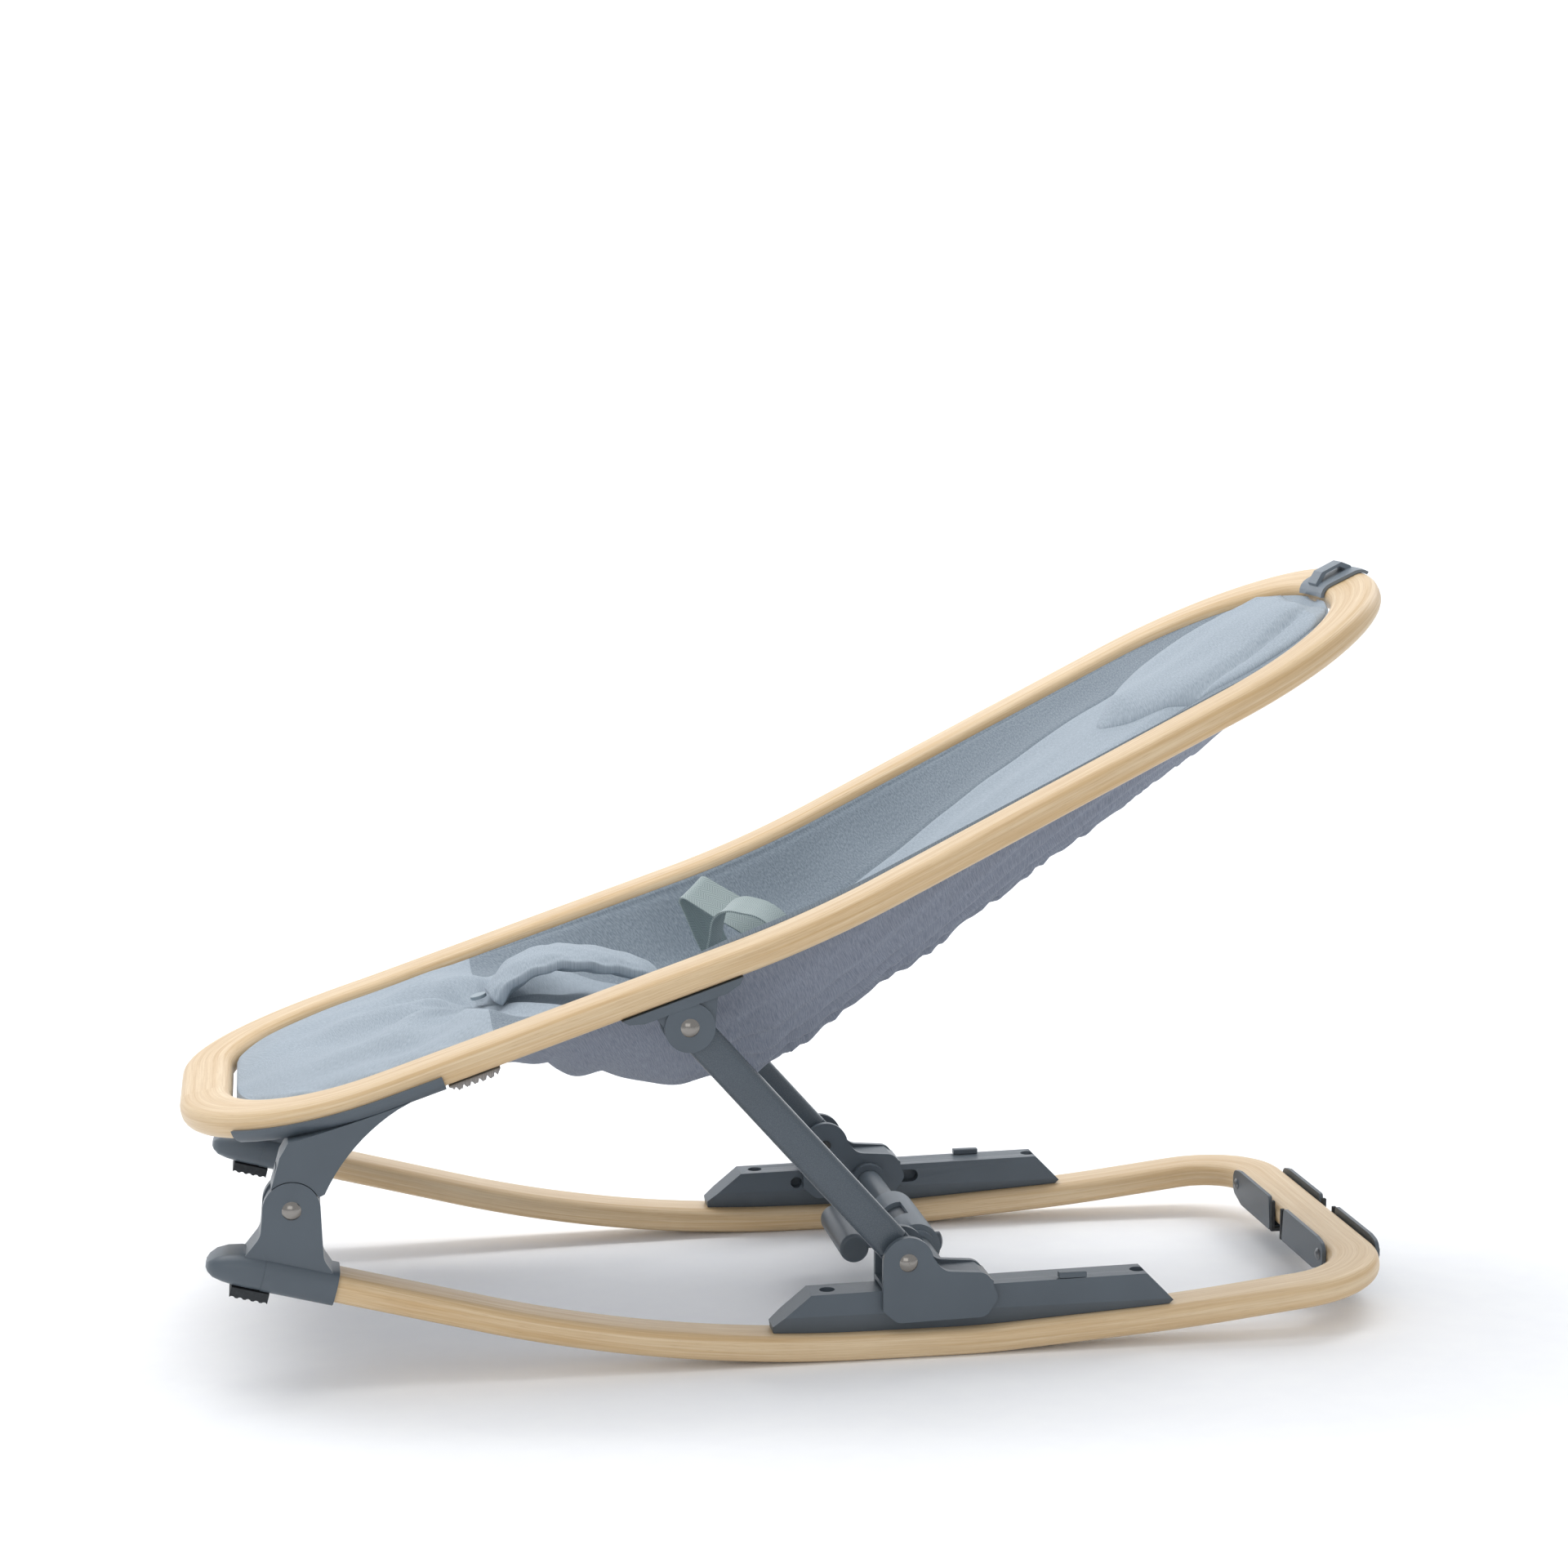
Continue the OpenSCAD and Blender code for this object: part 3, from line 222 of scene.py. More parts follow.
def make_steel(name, shade, rough):
    # Polished and plated steel with faint turning marks
    t = Tree(name)
    marks = t.noise(t.place("Object", (900, 60, 900)), 1.0, 2.0, 0.5)
    return t.finish(Base_Color=hex_linear(shade), Metallic=1.0, Roughness=t.remap(marks, 0.3, 0.7, rough, rough + 0.1),
                    Normal=t.bump(marks, 0.1, 0.00002))

def make_rubber(name):
    # Matt soft rubber, slightly dusty
    t = Tree(name)
    dust = t.noise(t.place("Object", (1, 1, 1)), 420, 4.0, 0.6)
    colour = t.blend(t.remap(dust, 0.45, 0.75, 0.0, 0.5), hex_linear("#2b2e31"), hex_linear("#43474b"))
    return t.finish(Base_Color=colour, Roughness=0.82, Normal=t.bump(dust, 0.3, 0.0001))

def make_cloth(name, light, mid, dark, yarn=1.5, relief=0.5, streak=7.0):
    # Melange cloth: light and dark yarns in short dashes, over a diagonal knit; yarn and streak in mm
    t = Tree(name)
    flow = t.place("UV", (1000, 1000, 1))
    dash = t.add("ShaderNodeMapping", {"Vector": flow, "Scale": (1 / streak, 1 / (yarn * 0.55), 1)}).outputs[0]
    mottle = t.noise(dash, 1.0, 2.0, 0.6)
    spot = t.noise(t.add("ShaderNodeMapping", {"Vector": flow, "Scale": (0.45, 0.9, 1)}).outputs[0], 1.0, 2.0, 0.5)
    rib = t.add("ShaderNodeMapping", {"Vector": flow, "Rotation": (0, 0, math.radians(28)),
                "Scale": (1 / yarn, 1 / yarn, 1)}).outputs[0]
    knit = t.add("ShaderNodeTexWave", {"Vector": rib, "Scale": 1.0, "Distortion": 1.2, "Detail": 1.0,
                 "Detail Scale": 1.5}, wave_type="BANDS", bands_direction="X").outputs["Fac"]
    cross = t.add("ShaderNodeMapping", {"Vector": flow, "Rotation": (0, 0, math.radians(-62)),
                  "Scale": (1 / yarn, 1 / yarn, 1)}).outputs[0]
    weft = t.add("ShaderNodeTexWave", {"Vector": cross, "Scale": 0.8, "Distortion": 1.0, "Detail": 1.0},
                 wave_type="BANDS", bands_direction="X").outputs["Fac"]
    weave = t.math("MULTIPLY", knit, weft)
    colour = t.blend(t.remap(mottle, 0.36, 0.64, 0.0, 1.0), hex_linear(dark), hex_linear(light))
    colour = t.blend(0.45, colour, hex_linear(mid))
    colour = t.blend(t.remap(spot, 0.5, 0.8, 0.0, 0.35), colour, hex_linear(light))
    colour = t.blend(t.remap(weave, 0.0, 0.6, 0.30, 0.0), colour, hex_linear(dark))
    height = t.math("ADD", t.math("MULTIPLY", weave, 0.8), t.math("MULTIPLY", mottle, 0.4))
    return t.finish(Base_Color=colour, Roughness=0.92, Normal=t.bump(height, relief, 0.0004),
                    Sheen_Weight=0.25, Sheen_Roughness=0.5, Sheen_Tint=hex_linear("#dfe6ee"))

def make_webbing(name, light, dark):
    # Herringbone polyester webbing: zigzag ribs 2 mm apart, with bound edges
    t = Tree(name)
    flow = t.place("UV", (1000, 1000, 1))
    parts = t.add("ShaderNodeSeparateXYZ", {0: flow})
    fold = t.math("PINGPONG", parts.outputs[1], 4.2)
    phase = t.math("ADD", parts.outputs[0], t.math("MULTIPLY", fold, 0.9))
    rib = t.math("PINGPONG", phase, 0.8)
    yarn = t.noise(t.add("ShaderNodeMapping", {"Vector": flow, "Scale": (1.4, 1.4, 1)}).outputs[0], 1.0, 2.0, 0.6)
    value = t.math("ADD", t.math("MULTIPLY", rib, 0.9), t.math("MULTIPLY", yarn, 0.25))
    colour = t.blend(t.remap(value, 0.15, 0.8, 0.0, 1.0), hex_linear(dark), hex_linear(light))
    return t.finish(Base_Color=colour, Roughness=0.6, Normal=t.bump(rib, 0.5, 0.0003), Sheen_Weight=0.2)

oak = make_oak("bent_oak", "#dcc49f", "#cbab7c", "#b08a5a")
slate_plastic = make_plastic("slate_plastic", "#4f5860", 0.40)
link_plastic = make_plastic("link_plastic", "#4b545c", 0.26)
light_plastic = make_plastic("light_plastic", "#6d7780", 0.44)
snap_plastic = make_plastic("snap_plastic", "#8d9aa2", 0.4)
steel = make_steel("polished_steel", "#8f8b86", 0.12)
dark_steel = make_steel("screw_steel", "#7c7e80", 0.28)
rubber = make_rubber("soft_rubber")
liner_cloth = make_cloth("liner_cloth", "#b9c3cb", "#a0abb5", "#85919c", yarn=1.1, relief=0.35, streak=5.0)
wall_cloth = make_cloth("wall_twill", "#a2adb6", "#7f8b96", "#5f6b76", yarn=1.7, relief=0.6, streak=3.2)
sling_cloth = make_cloth("sling_cloth", "#a3a9b7", "#858c9b", "#666d7c", yarn=1.2, relief=0.4, streak=9.0)
binding = make_cloth("binding_tape", "#b3ada6", "#98938f", "#6f6d6e", yarn=1.0, relief=0.5, streak=3.0)
belt = make_webbing("herringbone_webbing", "#a4b3b4", "#72807f")

f = Tree("studio_floor")
speck = f.noise(f.place("Object", (1, 1, 1)), 40, 3.0, 0.5)
floor.data.materials.append(f.finish(Base_Color=f.blend(f.remap(speck, 0.3, 0.7, 0.0, 1.0),
                            hex_linear("#fbfcfd"), hex_linear("#f8f9fb")), Roughness=0.7))

# %% [markdown]
# ## Hard pieces
# Each CAD piece is copied, merged, cleaned and given small edge radii, so its edges catch the light as
# moulded edges do. The copy stands for the CAD node and rides on the same body.

# %%
def dress(node, material, radius=0.0006, limit=38, segments=2):
    mesh = nodes[node].data.copy()
    ob = bpy.data.objects.new(node + "_look", mesh)
    bpy.context.scene.collection.objects.link(ob)
    mesh.materials.clear()
    mesh.materials.append(material)
    bm_clean(mesh)
    if radius:
        bevel = ob.modifiers.new("edge_radius", "BEVEL")
        bevel.width = radius
        bevel.segments = segments
        bevel.limit_method = "ANGLE"
        bevel.angle_limit = math.radians(limit)
        bevel.harden_normals = True
        bevel.use_clamp_overlap = True
        bpy.context.view_layer.update()
        made = bpy.data.meshes.new_from_object(ob.evaluated_get(bpy.context.evaluated_depsgraph_get()))
        ob.modifiers.clear()
        ob.data = made
    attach(ob, body_of_node[node])
    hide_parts(node)
    return ob

def bm_clean(mesh):
    import bmesh
    bm = bmesh.new()
    bm.from_mesh(mesh)
    bmesh.ops.remove_doubles(bm, verts=bm.verts, dist=1e-6)
    bmesh.ops.dissolve_limit(bm, angle_limit=math.radians(0.6), verts=bm.verts, edges=bm.edges)
    bm.to_mesh(mesh)
    bm.free()
    mesh.shade_smooth()
    mesh.set_sharp_from_angle(angle=math.radians(34))

plain = {"front_cap": 0.0008, "track": 0.0006, "track_stop": 0.0004, "front_bracket": 0.0007,
         "upper_bracket": 0.0006, "link_head": 0.0006, "link_foot": 0.0006, "carriage": 0.0008, "rear_stand": 0.0007}
for stem, radius in plain.items():
    for side in ("_left", "_right"):
        dress(stem + side, slate_plastic, radius)
for side in ("_left", "_right"):
    dress("link" + side, link_plastic, 0.0006)
    dress("foot_pad" + side, rubber, 0.0004)
    dress("stand_foot" + side, rubber, 0.0004)
    for stem in ("front_hinge_pin", "upper_pin", "carriage_pin", "lock_pin"):
        dress(stem + side, steel, 0)
    dress("stand_bolt" + side, dark_steel, 0)
    dress("lock_spring" + side, dark_steel, 0)
for node in ("rail_screws", "track_screws", "bracket_screws"):
    dress(node, dark_steel, 0.0002)
dress("cross_tube", slate_plastic, 0.0004)
dress("release_housing", light_plastic, 0.0006)
dress("release_lever", slate_plastic, 0.0006)
dress("release_button", slate_plastic, 0.0003)
dress("head_clip", light_plastic, 0.0006)
dress("snap_button", snap_plastic, 0.0004)
dress("buckle_socket", slate_plastic, 0.0006)
dress("buckle_tongue", slate_plastic, 0.0006)
print("hard pieces dressed")

# %% [markdown]
# ## Side profiles
# The ring and the base are strips that follow a side profile of straight and curved stretches.

# %%
WOOD_W, WOOD_T, WOOD_R = 0.037, 0.019, 0.008
RING_HALF, RING_FOOT_R, RING_HEAD_R = 0.161, 0.118, 0.150
BASE_HALF, BASE_CORNER_R = 0.162, 0.058

def walk(way, u, start):
    x, z, a = start
    for i, (length, turn) in enumerate(way):
        step = u if i == len(way) - 1 else min(u, length)
        rate = turn / length
        b = a + rate * step
        ra, rb = math.radians(a), math.radians(b)
        if abs(rate) < 1e-9:
            x, z = x + step * math.cos(rb), z + step * math.sin(rb)
        else:
            r = 180 / (math.pi * rate)
            x, z = x + r * (math.sin(rb) - math.sin(ra)), z - r * (math.cos(rb) - math.cos(ra))
        a = b
        u -= step
        if u <= 1e-12:
            break
    return x, z, math.radians(a)

RING_WAY = [(0.140, 6.3), (0.240, 0), (0.120, 8.1), (0.420, 0)]
RING_LEN = sum(l for l, _ in RING_WAY)
ring_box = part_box("seat_ring")
base_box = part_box("base_frame")
SLOPE = 14.8
MID_R = 1.0475
BASE_WAY = [(0.153, 0), (MID_R * math.radians(SLOPE), SLOPE), (0.065, 0), (0.041, 4), (0.090, 0), (0.070, 2.5), (0.114, 0)]
BASE_LEN = sum(l for l, _ in BASE_WAY)
BASE_START = (0.030 - MID_R * math.sin(math.radians(SLOPE)) - 0.153 * math.cos(math.radians(SLOPE)),
              WOOD_T / 2 + MID_R * (1 - math.cos(math.radians(SLOPE))) + 0.153 * math.sin(math.radians(SLOPE)), -SLOPE)

def overhang(a):
    a = math.radians(a)
    return (WOOD_W / 2 - WOOD_R) * math.cos(a) + (WOOD_T / 2 - WOOD_R) * math.sin(a) + WOOD_R

ring_run = walk(RING_WAY, RING_LEN, (0, 0, 12.5))[0]
RING_START = (-(ring_run + overhang(26.9) - overhang(12.5)) / 2, 0.1714, 12.5)

def ring_at(u):
    return walk(RING_WAY, u, RING_START)

def base_at(u):
    return walk(BASE_WAY, u, BASE_START)

def ring_u(x):
    lo, hi = 0.0, RING_LEN
    for _ in range(40):
        mid = (lo + hi) / 2
        lo, hi = (mid, hi) if ring_at(mid)[0] < x else (lo, mid)
    return lo

def wood_section(n=6):
    pts = []
    for cx, cy, a0 in ((1, -1, -90), (1, 1, 0), (-1, 1, 90), (-1, -1, 180)):
        for i in range(n + 1):
            a = math.radians(a0 + 90 * i / n)
            pts.append((cx * (WOOD_W / 2 - WOOD_R) + WOOD_R * math.cos(a), cy * (WOOD_T / 2 - WOOD_R) + WOOD_R * math.sin(a)))
    return pts

def lay(p, y, h, w, t):
    x, z, a = p
    return (x - w * math.sin(h) * math.cos(a) - t * math.sin(a), y + w * math.cos(h), z - w * math.sin(h) * math.sin(a) + t * math.cos(a))

def corner(u, y, r, h0, h1, n):
    out = []
    for i in range(n):
        h = math.radians(h0 + (h1 - h0) * i / n)
        out.append((u + r * math.sin(h), y - r * math.cos(h), h))
    return out

def straight(u0, u1, y, h, n):
    return [(u0 + (u1 - u0) * i / n, y, math.radians(h)) for i in range(n)]

def sweep(name, stations, at, section, closed):
    """A strip swept along plan stations [u, y, heading] on a side profile, with UV in metres along and around."""
    m = len(section)
    around = [0.0]
    for i in range(m):
        a, b = section[i], section[(i + 1) % m]
        around.append(around[-1] + math.dist(a, b))
    verts, along, last = [], [0.0], None
    for u, y, h in stations:
        p = at(u)
        centre = (p[0], y, p[1])
        if last is not None:
            along.append(along[-1] + math.dist(centre, last))
        last = centre
        verts += [lay(p, y, h, w, t) for w, t in section]
    n = len(stations)
    faces, uvs = [], []
    for i in range(n if closed else n - 1):
        k = (i + 1) % n
        a0 = along[i]
        a1 = along[k] if k else a0 + math.dist(verts[i * m], verts[0])
        for j in range(m):
            l = (j + 1) % m
            faces.append((i * m + j, k * m + j, k * m + l, i * m + l))
            uvs += [(a0, around[j]), (a1, around[j]), (a1, around[j + 1]), (a0, around[j + 1])]
    if not closed:
        for ring, order in ((0, 1), (n - 1, -1)):
            faces.append([ring * m + j for j in range(m)][::order])
            uvs += [(0.0, 0.0)] * m
    ob = mesh_object(name, verts, [f[::-1] for f in faces], True)
    flipped = []
    start = 0
    for f_ in faces:
        flipped += uvs[start:start + len(f_)][::-1]
        start += len(f_)
    layer = ob.data.uv_layers.new(name="UVMap")
    if len(layer.data) == len(flipped):
        layer.data.foreach_set("uv", np.array(flipped, np.float32).ravel())
    return ob

FOOT_C, HEAD_C = RING_HALF - RING_FOOT_R, RING_HALF - RING_HEAD_R
ring_stations = (corner(RING_FOOT_R, -FOOT_C, RING_FOOT_R, -90, 0, 36)
                 + straight(RING_FOOT_R, RING_LEN - RING_HEAD_R, -RING_HALF, 0, 110)
                 + corner(RING_LEN - RING_HEAD_R, -HEAD_C, RING_HEAD_R, 0, 90, 44)
                 + straight(RING_LEN, RING_LEN, -HEAD_C, 90, 1)
                 + corner(RING_LEN - RING_HEAD_R, HEAD_C, RING_HEAD_R, 90, 180, 44)
                 + straight(RING_LEN - RING_HEAD_R, RING_FOOT_R, RING_HALF, 180, 110)
                 + corner(RING_FOOT_R, FOOT_C, RING_FOOT_R, 180, 270, 36)
                 + [(0.0, FOOT_C, math.radians(270))])
seen, clean = set(), []
for s in ring_stations:
    key = (round(s[0], 6), round(s[1], 6))
    if key not in seen:
        seen.add(key)
        clean.append(s)
ring = sweep("seat_ring_look", clean, ring_at, wood_section(), True)
ring.data.materials.append(oak)
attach(ring, "seat")
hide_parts("seat_ring")

BASE_C = BASE_HALF - BASE_CORNER_R
base_stations = (straight(0, BASE_LEN - BASE_CORNER_R, -BASE_HALF, 0, 160)
                 + corner(BASE_LEN - BASE_CORNER_R, -BASE_C, BASE_CORNER_R, 0, 90, 26)
                 + straight(BASE_LEN, BASE_LEN, -BASE_C, 90, 1)
                 + corner(BASE_LEN - BASE_CORNER_R, BASE_C, BASE_CORNER_R, 90, 180, 26)
                 + straight(BASE_LEN - BASE_CORNER_R, 0, BASE_HALF, 180, 160)
                 + [(0.0, BASE_HALF, math.radians(180))])
seen, clean = set(), []
for s in base_stations:
    key = (round(s[0], 6), round(s[1], 6))
    if key not in seen:
        seen.add(key)
        clean.append(s)
base = sweep("base_frame_look", clean, base_at, wood_section(), False)
base.data.materials.append(oak)
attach(base, "base")
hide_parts("base_frame")
print("wood strips:", len(ring.data.vertices), len(base.data.vertices))

# %% [markdown]
# ## The hanging seat and its liner
# Both follow one surface: across the ring it hangs flat in the middle and climbs steeply to the wood. The
# liner's padded top carries soft folds that fan out from the snap, and the sling's underside has a
# gathered seam on each side and a puckered panel at its lowest part.

# %%
GAP = 0.0034
SOFT_U0, SOFT_U1 = WOOD_W / 2 + GAP, RING_LEN - WOOD_W / 2 - GAP
SLING = ([0.02, 0.05, 0.14, 0.22, 0.262, 0.296, 0.384, 0.409, 0.455, 0.503, 0.577, 0.651, 0.763, 0.87, 0.94, 0.98],
         [5, 14, 20, 31, 41, 64, 102, 108, 115, 104, 90, 76, 58, 38, 24, 5])
LINER = ([0.02, 0.06, 0.15, 0.22, 0.29, 0.36, 0.42, 0.48, 0.6, 0.65, 0.7, 0.75, 0.8, 0.88, 0.98],
         [-3, -9, -10, -2, 22, 56, 72, 68, 47, 34, 24, 16, 11, 5, -3])
RIM = ([0.28, 0.34, 0.42, 0.7, 0.85, 0.93], [0, 6, 13, 11, 10, 0])
LINER_T = 0.022

def smooth_table(table):
    """The depth table as a smooth curve: linear values, averaged over 24 mm."""
    ks = np.linspace(0, 1, 921)
    values = np.interp(ks, table[0], table[1])
    width = 24
    pad = np.concatenate([np.full(width, values[0]), values, np.full(width, values[-1])])
    kernel = np.hanning(width * 2 + 1)
    soft = np.convolve(pad, kernel / kernel.sum(), mode="same")[width:-width]
    return ks, soft / 1000

SLING_CURVE, LINER_CURVE, RIM_CURVE = smooth_table(SLING), smooth_table(LINER), smooth_table(RIM)

def inner_half(u):
    rf, rh = RING_FOOT_R - WOOD_W / 2 - GAP, RING_HEAD_R - WOOD_W / 2 - GAP
    df, dh = RING_FOOT_R - u, u - RING_LEN + RING_HEAD_R
    if df > 0:
        return FOOT_C + math.sqrt(max(0, rf * rf - df * df))
    if dh > 0:
        return HEAD_C + math.sqrt(max(0, rh * rh - dh * dh))
    return RING_HALF - WOOD_W / 2 - GAP

def bell(v, centre, width):
    return np.exp(-((v - centre) / width) ** 2)

def smoothstep(v, a, b):
    t = np.clip((v - a) / (b - a), 0, 1)
    return t * t * (3 - 2 * t)

def wave_noise(x, y, scale, seed, layers=5):
    """Smooth random relief from a few crossed waves, about -1 to 1, with features of the given size."""
    r = np.random.default_rng(seed)
    total = np.zeros_like(np.asarray(x) * 1.0)
    for _ in range(layers):
        a = r.uniform(0, math.pi)
        f = 2 * math.pi / (scale * r.uniform(0.7, 1.5))
        total = total + np.sin(f * (x * math.cos(a) + y * math.sin(a)) + r.uniform(0, 6.28))
    return total / layers

SNAP = (-0.214 - 0.012, 0.0)

PANEL_T = 0.54

def liner_base(u, t):
    """The padded top's smooth form: the hanging middle, the walls and the rolled rim of the left edge."""
    depth, rim = np.interp(u / RING_LEN, *LINER_CURVE), np.interp(u / RING_LEN, *RIM_CURVE)
    away = np.abs(t)
    z = ring_at(u)[1] + 0.004 - (depth + 0.004) * (1 - away ** 3.6)
    return z + rim * away ** 12 * (t < 0)

def liner_height(u, x, y, t):
    away = np.abs(t)
    edge = np.clip((away - 0.94) / 0.06, 0, 1)
    z = liner_base(u, t) - 0.0055 * edge ** 2
    k = u / RING_LEN
    # folds that fan out from the snap over the thighs and towards the far side
    dx, dy = x - SNAP[0], y - SNAP[1]
    r, a = np.hypot(dx, dy), np.arctan2(dy, dx)
    fan = np.sin(a * 7 + 1.2 + 0.8 * np.sin(r * 55)) * bell(r, 0.07, 0.05) * 0.0042
    fan = fan + np.sin(a * 13 + 0.4) * bell(r, 0.035, 0.02) * 0.0016
    pull = -0.007 * bell(r, 0.0, 0.028)
    # a soft mound behind the crotch piece, and long lazy waves
    mound = 0.012 * bell(y, 0.052, 0.024) * bell(x, -0.185, 0.055) + 0.006 * bell(y, -0.075, 0.03) * bell(x, -0.20, 0.05)
    puff = 0.0022 * wave_noise(x, y * 1.4, 0.085, 3) + 0.0010 * wave_noise(x, y, 0.04, 9)
    side_fold = 0.0035 * np.sin(x * 78 + 4 * away) * bell(away, 0.74, 0.16) * bell(x, -0.045, 0.13)
    # the back's middle panel stands proud of the walls, with a sewn groove along its edge
    on_back = smoothstep(k, 0.50, 0.60) * (1 - smoothstep(k, 0.93, 0.96))
    groove = -0.0030 * bell(away, PANEL_T + 0.012, 0.016) * on_back
    rise = 0.0045 * smoothstep(PANEL_T - away, -0.005, 0.10) * on_back
    ridge = 0.0016 * np.sin(x * 130 + 9 * t) * bell(away, 0.93, 0.05) * (t < 0)
    return z + (fan + pull + mound + puff + side_fold + groove + rise) * (1 - edge) * (1 - away ** 10) + ridge * (1 - edge)

def sling_height(u, x, y, t):
    away, k = np.abs(t), u / RING_LEN
    depth = np.interp(k, *SLING_CURVE)
    z = ring_at(u)[1] - 0.005 - depth * (1 - away ** 3.2)
    body = 1 - away ** 6
    # the gathered band along the lowest line, puckered at uneven steps
    step = x * 2 * math.pi / 0.017 + 1.6 * np.sin(x * 71) + 1.1 * np.sin(x * 173 + 1)
    band = 0.0014 * np.sin(step) * bell(away, 0.50, 0.13) * smoothstep(k, 0.42, 0.50)
    seam = -0.0024 * bell(away, 0.47, 0.022) * smoothstep(k, 0.42, 0.50)
    # long slanting drag folds from the upper brackets towards the head
    slant = (away - 0.30) * 0.30 - (x - 0.02) * 0.42
    drag = 0.0034 * np.sin(slant * 190 + 1.4 * np.sin(x * 21)) * smoothstep(k, 0.36, 0.44) * (1 - smoothstep(k, 0.70, 0.86))
    low = smoothstep(k, 0.22, 0.29) * (1 - smoothstep(k, 0.44, 0.52))
    ruffle = 0.0032 * np.sin(x * 2 * math.pi / 0.052 + 5 * t + 1.9 * np.sin(x * 33)) * low * (1 - away ** 4)
    crush = 0.0022 * wave_noise(x, y * 0.5, 0.055, 44) * smoothstep(k, 0.24, 0.32) * (1 - smoothstep(k, 0.52, 0.62))
    sag = 0.0022 * wave_noise(x, y * 0.7, 0.11, 21) + 0.0008 * wave_noise(x, y, 0.045, 5)
    foot = smoothstep(k, 0.02, 0.10)
    return z + (band + seam + drag + ruffle + crush + sag) * body * foot

def grid(nu, nt, height, z_up=0.0):
    rows = []
    for i in range(nu + 1):
        u = SOFT_U0 + (SOFT_U1 - SOFT_U0) * (1 - math.cos(math.pi * i / nu)) / 2 * 0.35 + (SOFT_U1 - SOFT_U0) * i / nu * 0.65
        x = ring_at(u)[0]
        half = inner_half(u)
        t = np.sin(np.linspace(-math.pi / 2, math.pi / 2, nt + 1)) * 0.5 + np.linspace(-1, 1, nt + 1) * 0.5
        z = height(u, x, t * half, t) + z_up
        rows.append(np.stack([np.full(nt + 1, x), t * half, z], 1))
    return np.array(rows)

def closed_skin(name, top, bottom):
    """A closed piece from two grids that share their plan: top skin, bottom skin and the rim between."""
    nu, nt = top.shape[0], top.shape[1]
    verts = np.concatenate([top.reshape(-1, 3), bottom.reshape(-1, 3)])
    idx = lambda s, i, j: s * nu * nt + i * nt + j
    faces, uvs = [], []
    along = np.zeros((2, nu, nt))
    across = np.zeros((2, nu, nt))
    for s, g in ((0, top), (1, bottom)):
        along[s, 1:] = np.cumsum(np.linalg.norm(np.diff(g, axis=0), axis=2), axis=0)
        across[s, :, 1:] = np.cumsum(np.linalg.norm(np.diff(g, axis=1), axis=2), axis=1)
    def quad(a, b, c, d):
        faces.append([idx(*k) for k in (a, b, c, d)])
        uvs.extend([(across[k], along[k]) for k in (a, b, c, d)])
    for i in range(nu - 1):
        for j in range(nt - 1):
            quad((0, i, j), (0, i + 1, j), (0, i + 1, j + 1), (0, i, j + 1))
            quad((1, i, j), (1, i, j + 1), (1, i + 1, j + 1), (1, i + 1, j))
        quad((0, i, 0), (1, i, 0), (1, i + 1, 0), (0, i + 1, 0))
        quad((0, i, nt - 1), (0, i + 1, nt - 1), (1, i + 1, nt - 1), (1, i, nt - 1))
    for j in range(nt - 1):
        quad((0, 0, j), (0, 0, j + 1), (1, 0, j + 1), (1, 0, j))
        quad((0, nu - 1, j), (1, nu - 1, j), (1, nu - 1, j + 1), (0, nu - 1, j + 1))
    ob = mesh_object(name, verts, [f[::-1] for f in faces], True)
    layer = ob.data.uv_layers.new(name="UVMap")
    flat = []
    for q in range(len(faces)):
        flat += uvs[q * 4:q * 4 + 4][::-1]
    if len(layer.data) == len(flat):
        layer.data.foreach_set("uv", np.array(flat, np.float32).ravel())
    return ob

NU, NT = ((330, 120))
sling_bottom = grid(NU, NT, sling_height)
sling_top = sling_bottom + np.array([0, 0, 0.0035])
liner_top = grid(NU, NT, liner_height)
liner_bottom = liner_top - np.array([0, 0, LINER_T])
liner_bottom[:, :, 2] = np.maximum(liner_bottom[:, :, 2], sling_top[:, :, 2] + 0.0008)
liner_top[:, :, 2] = np.maximum(liner_top[:, :, 2], liner_bottom[:, :, 2] + 0.003)
sling = closed_skin("seat_sling_cloth", sling_top, sling_bottom)
sling.data.materials.append(sling_cloth)
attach(sling, "seat")
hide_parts("seat_sling")
liner = closed_skin("seat_liner_padded", liner_top, liner_bottom)
liner.data.materials.append(liner_cloth)
liner.data.materials.append(wall_cloth)
centres = np.zeros(len(liner.data.polygons) * 3)
liner.data.polygons.foreach_get("center", centres)
centres = centres.reshape(-1, 3)
wall = [int(x > -0.225 and abs(y) > PANEL_T * inner_half(ring_u(x)) and x < 0.385) for x, y, _ in centres]
liner.data.polygons.foreach_set("material_index", wall)
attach(liner, "seat")
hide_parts("seat_liner")
print("liner and sling:", len(liner.data.vertices), len(sling.data.vertices))

# %% [markdown]
# ## Head pad, crotch piece and webbing
# The head pad is a puffed patch with a rounded lower tip and a sewn edge. The crotch piece is a padded
# tongue folded over in a loop, top-stitched along its rim. The waist webbing stands up in two loops.

# %%
def tube_faces(n, m, closed_ends=True):
    faces = [(i * m + j, (i + 1) * m + j, (i + 1) * m + (j + 1) % m, i * m + (j + 1) % m)
             for i in range(n - 1) for j in range(m)]
    if closed_ends:
        faces += [tuple(range(m)), tuple((n - 1) * m + j for j in range(m - 1, -1, -1))]
    return [f[::-1] for f in faces]

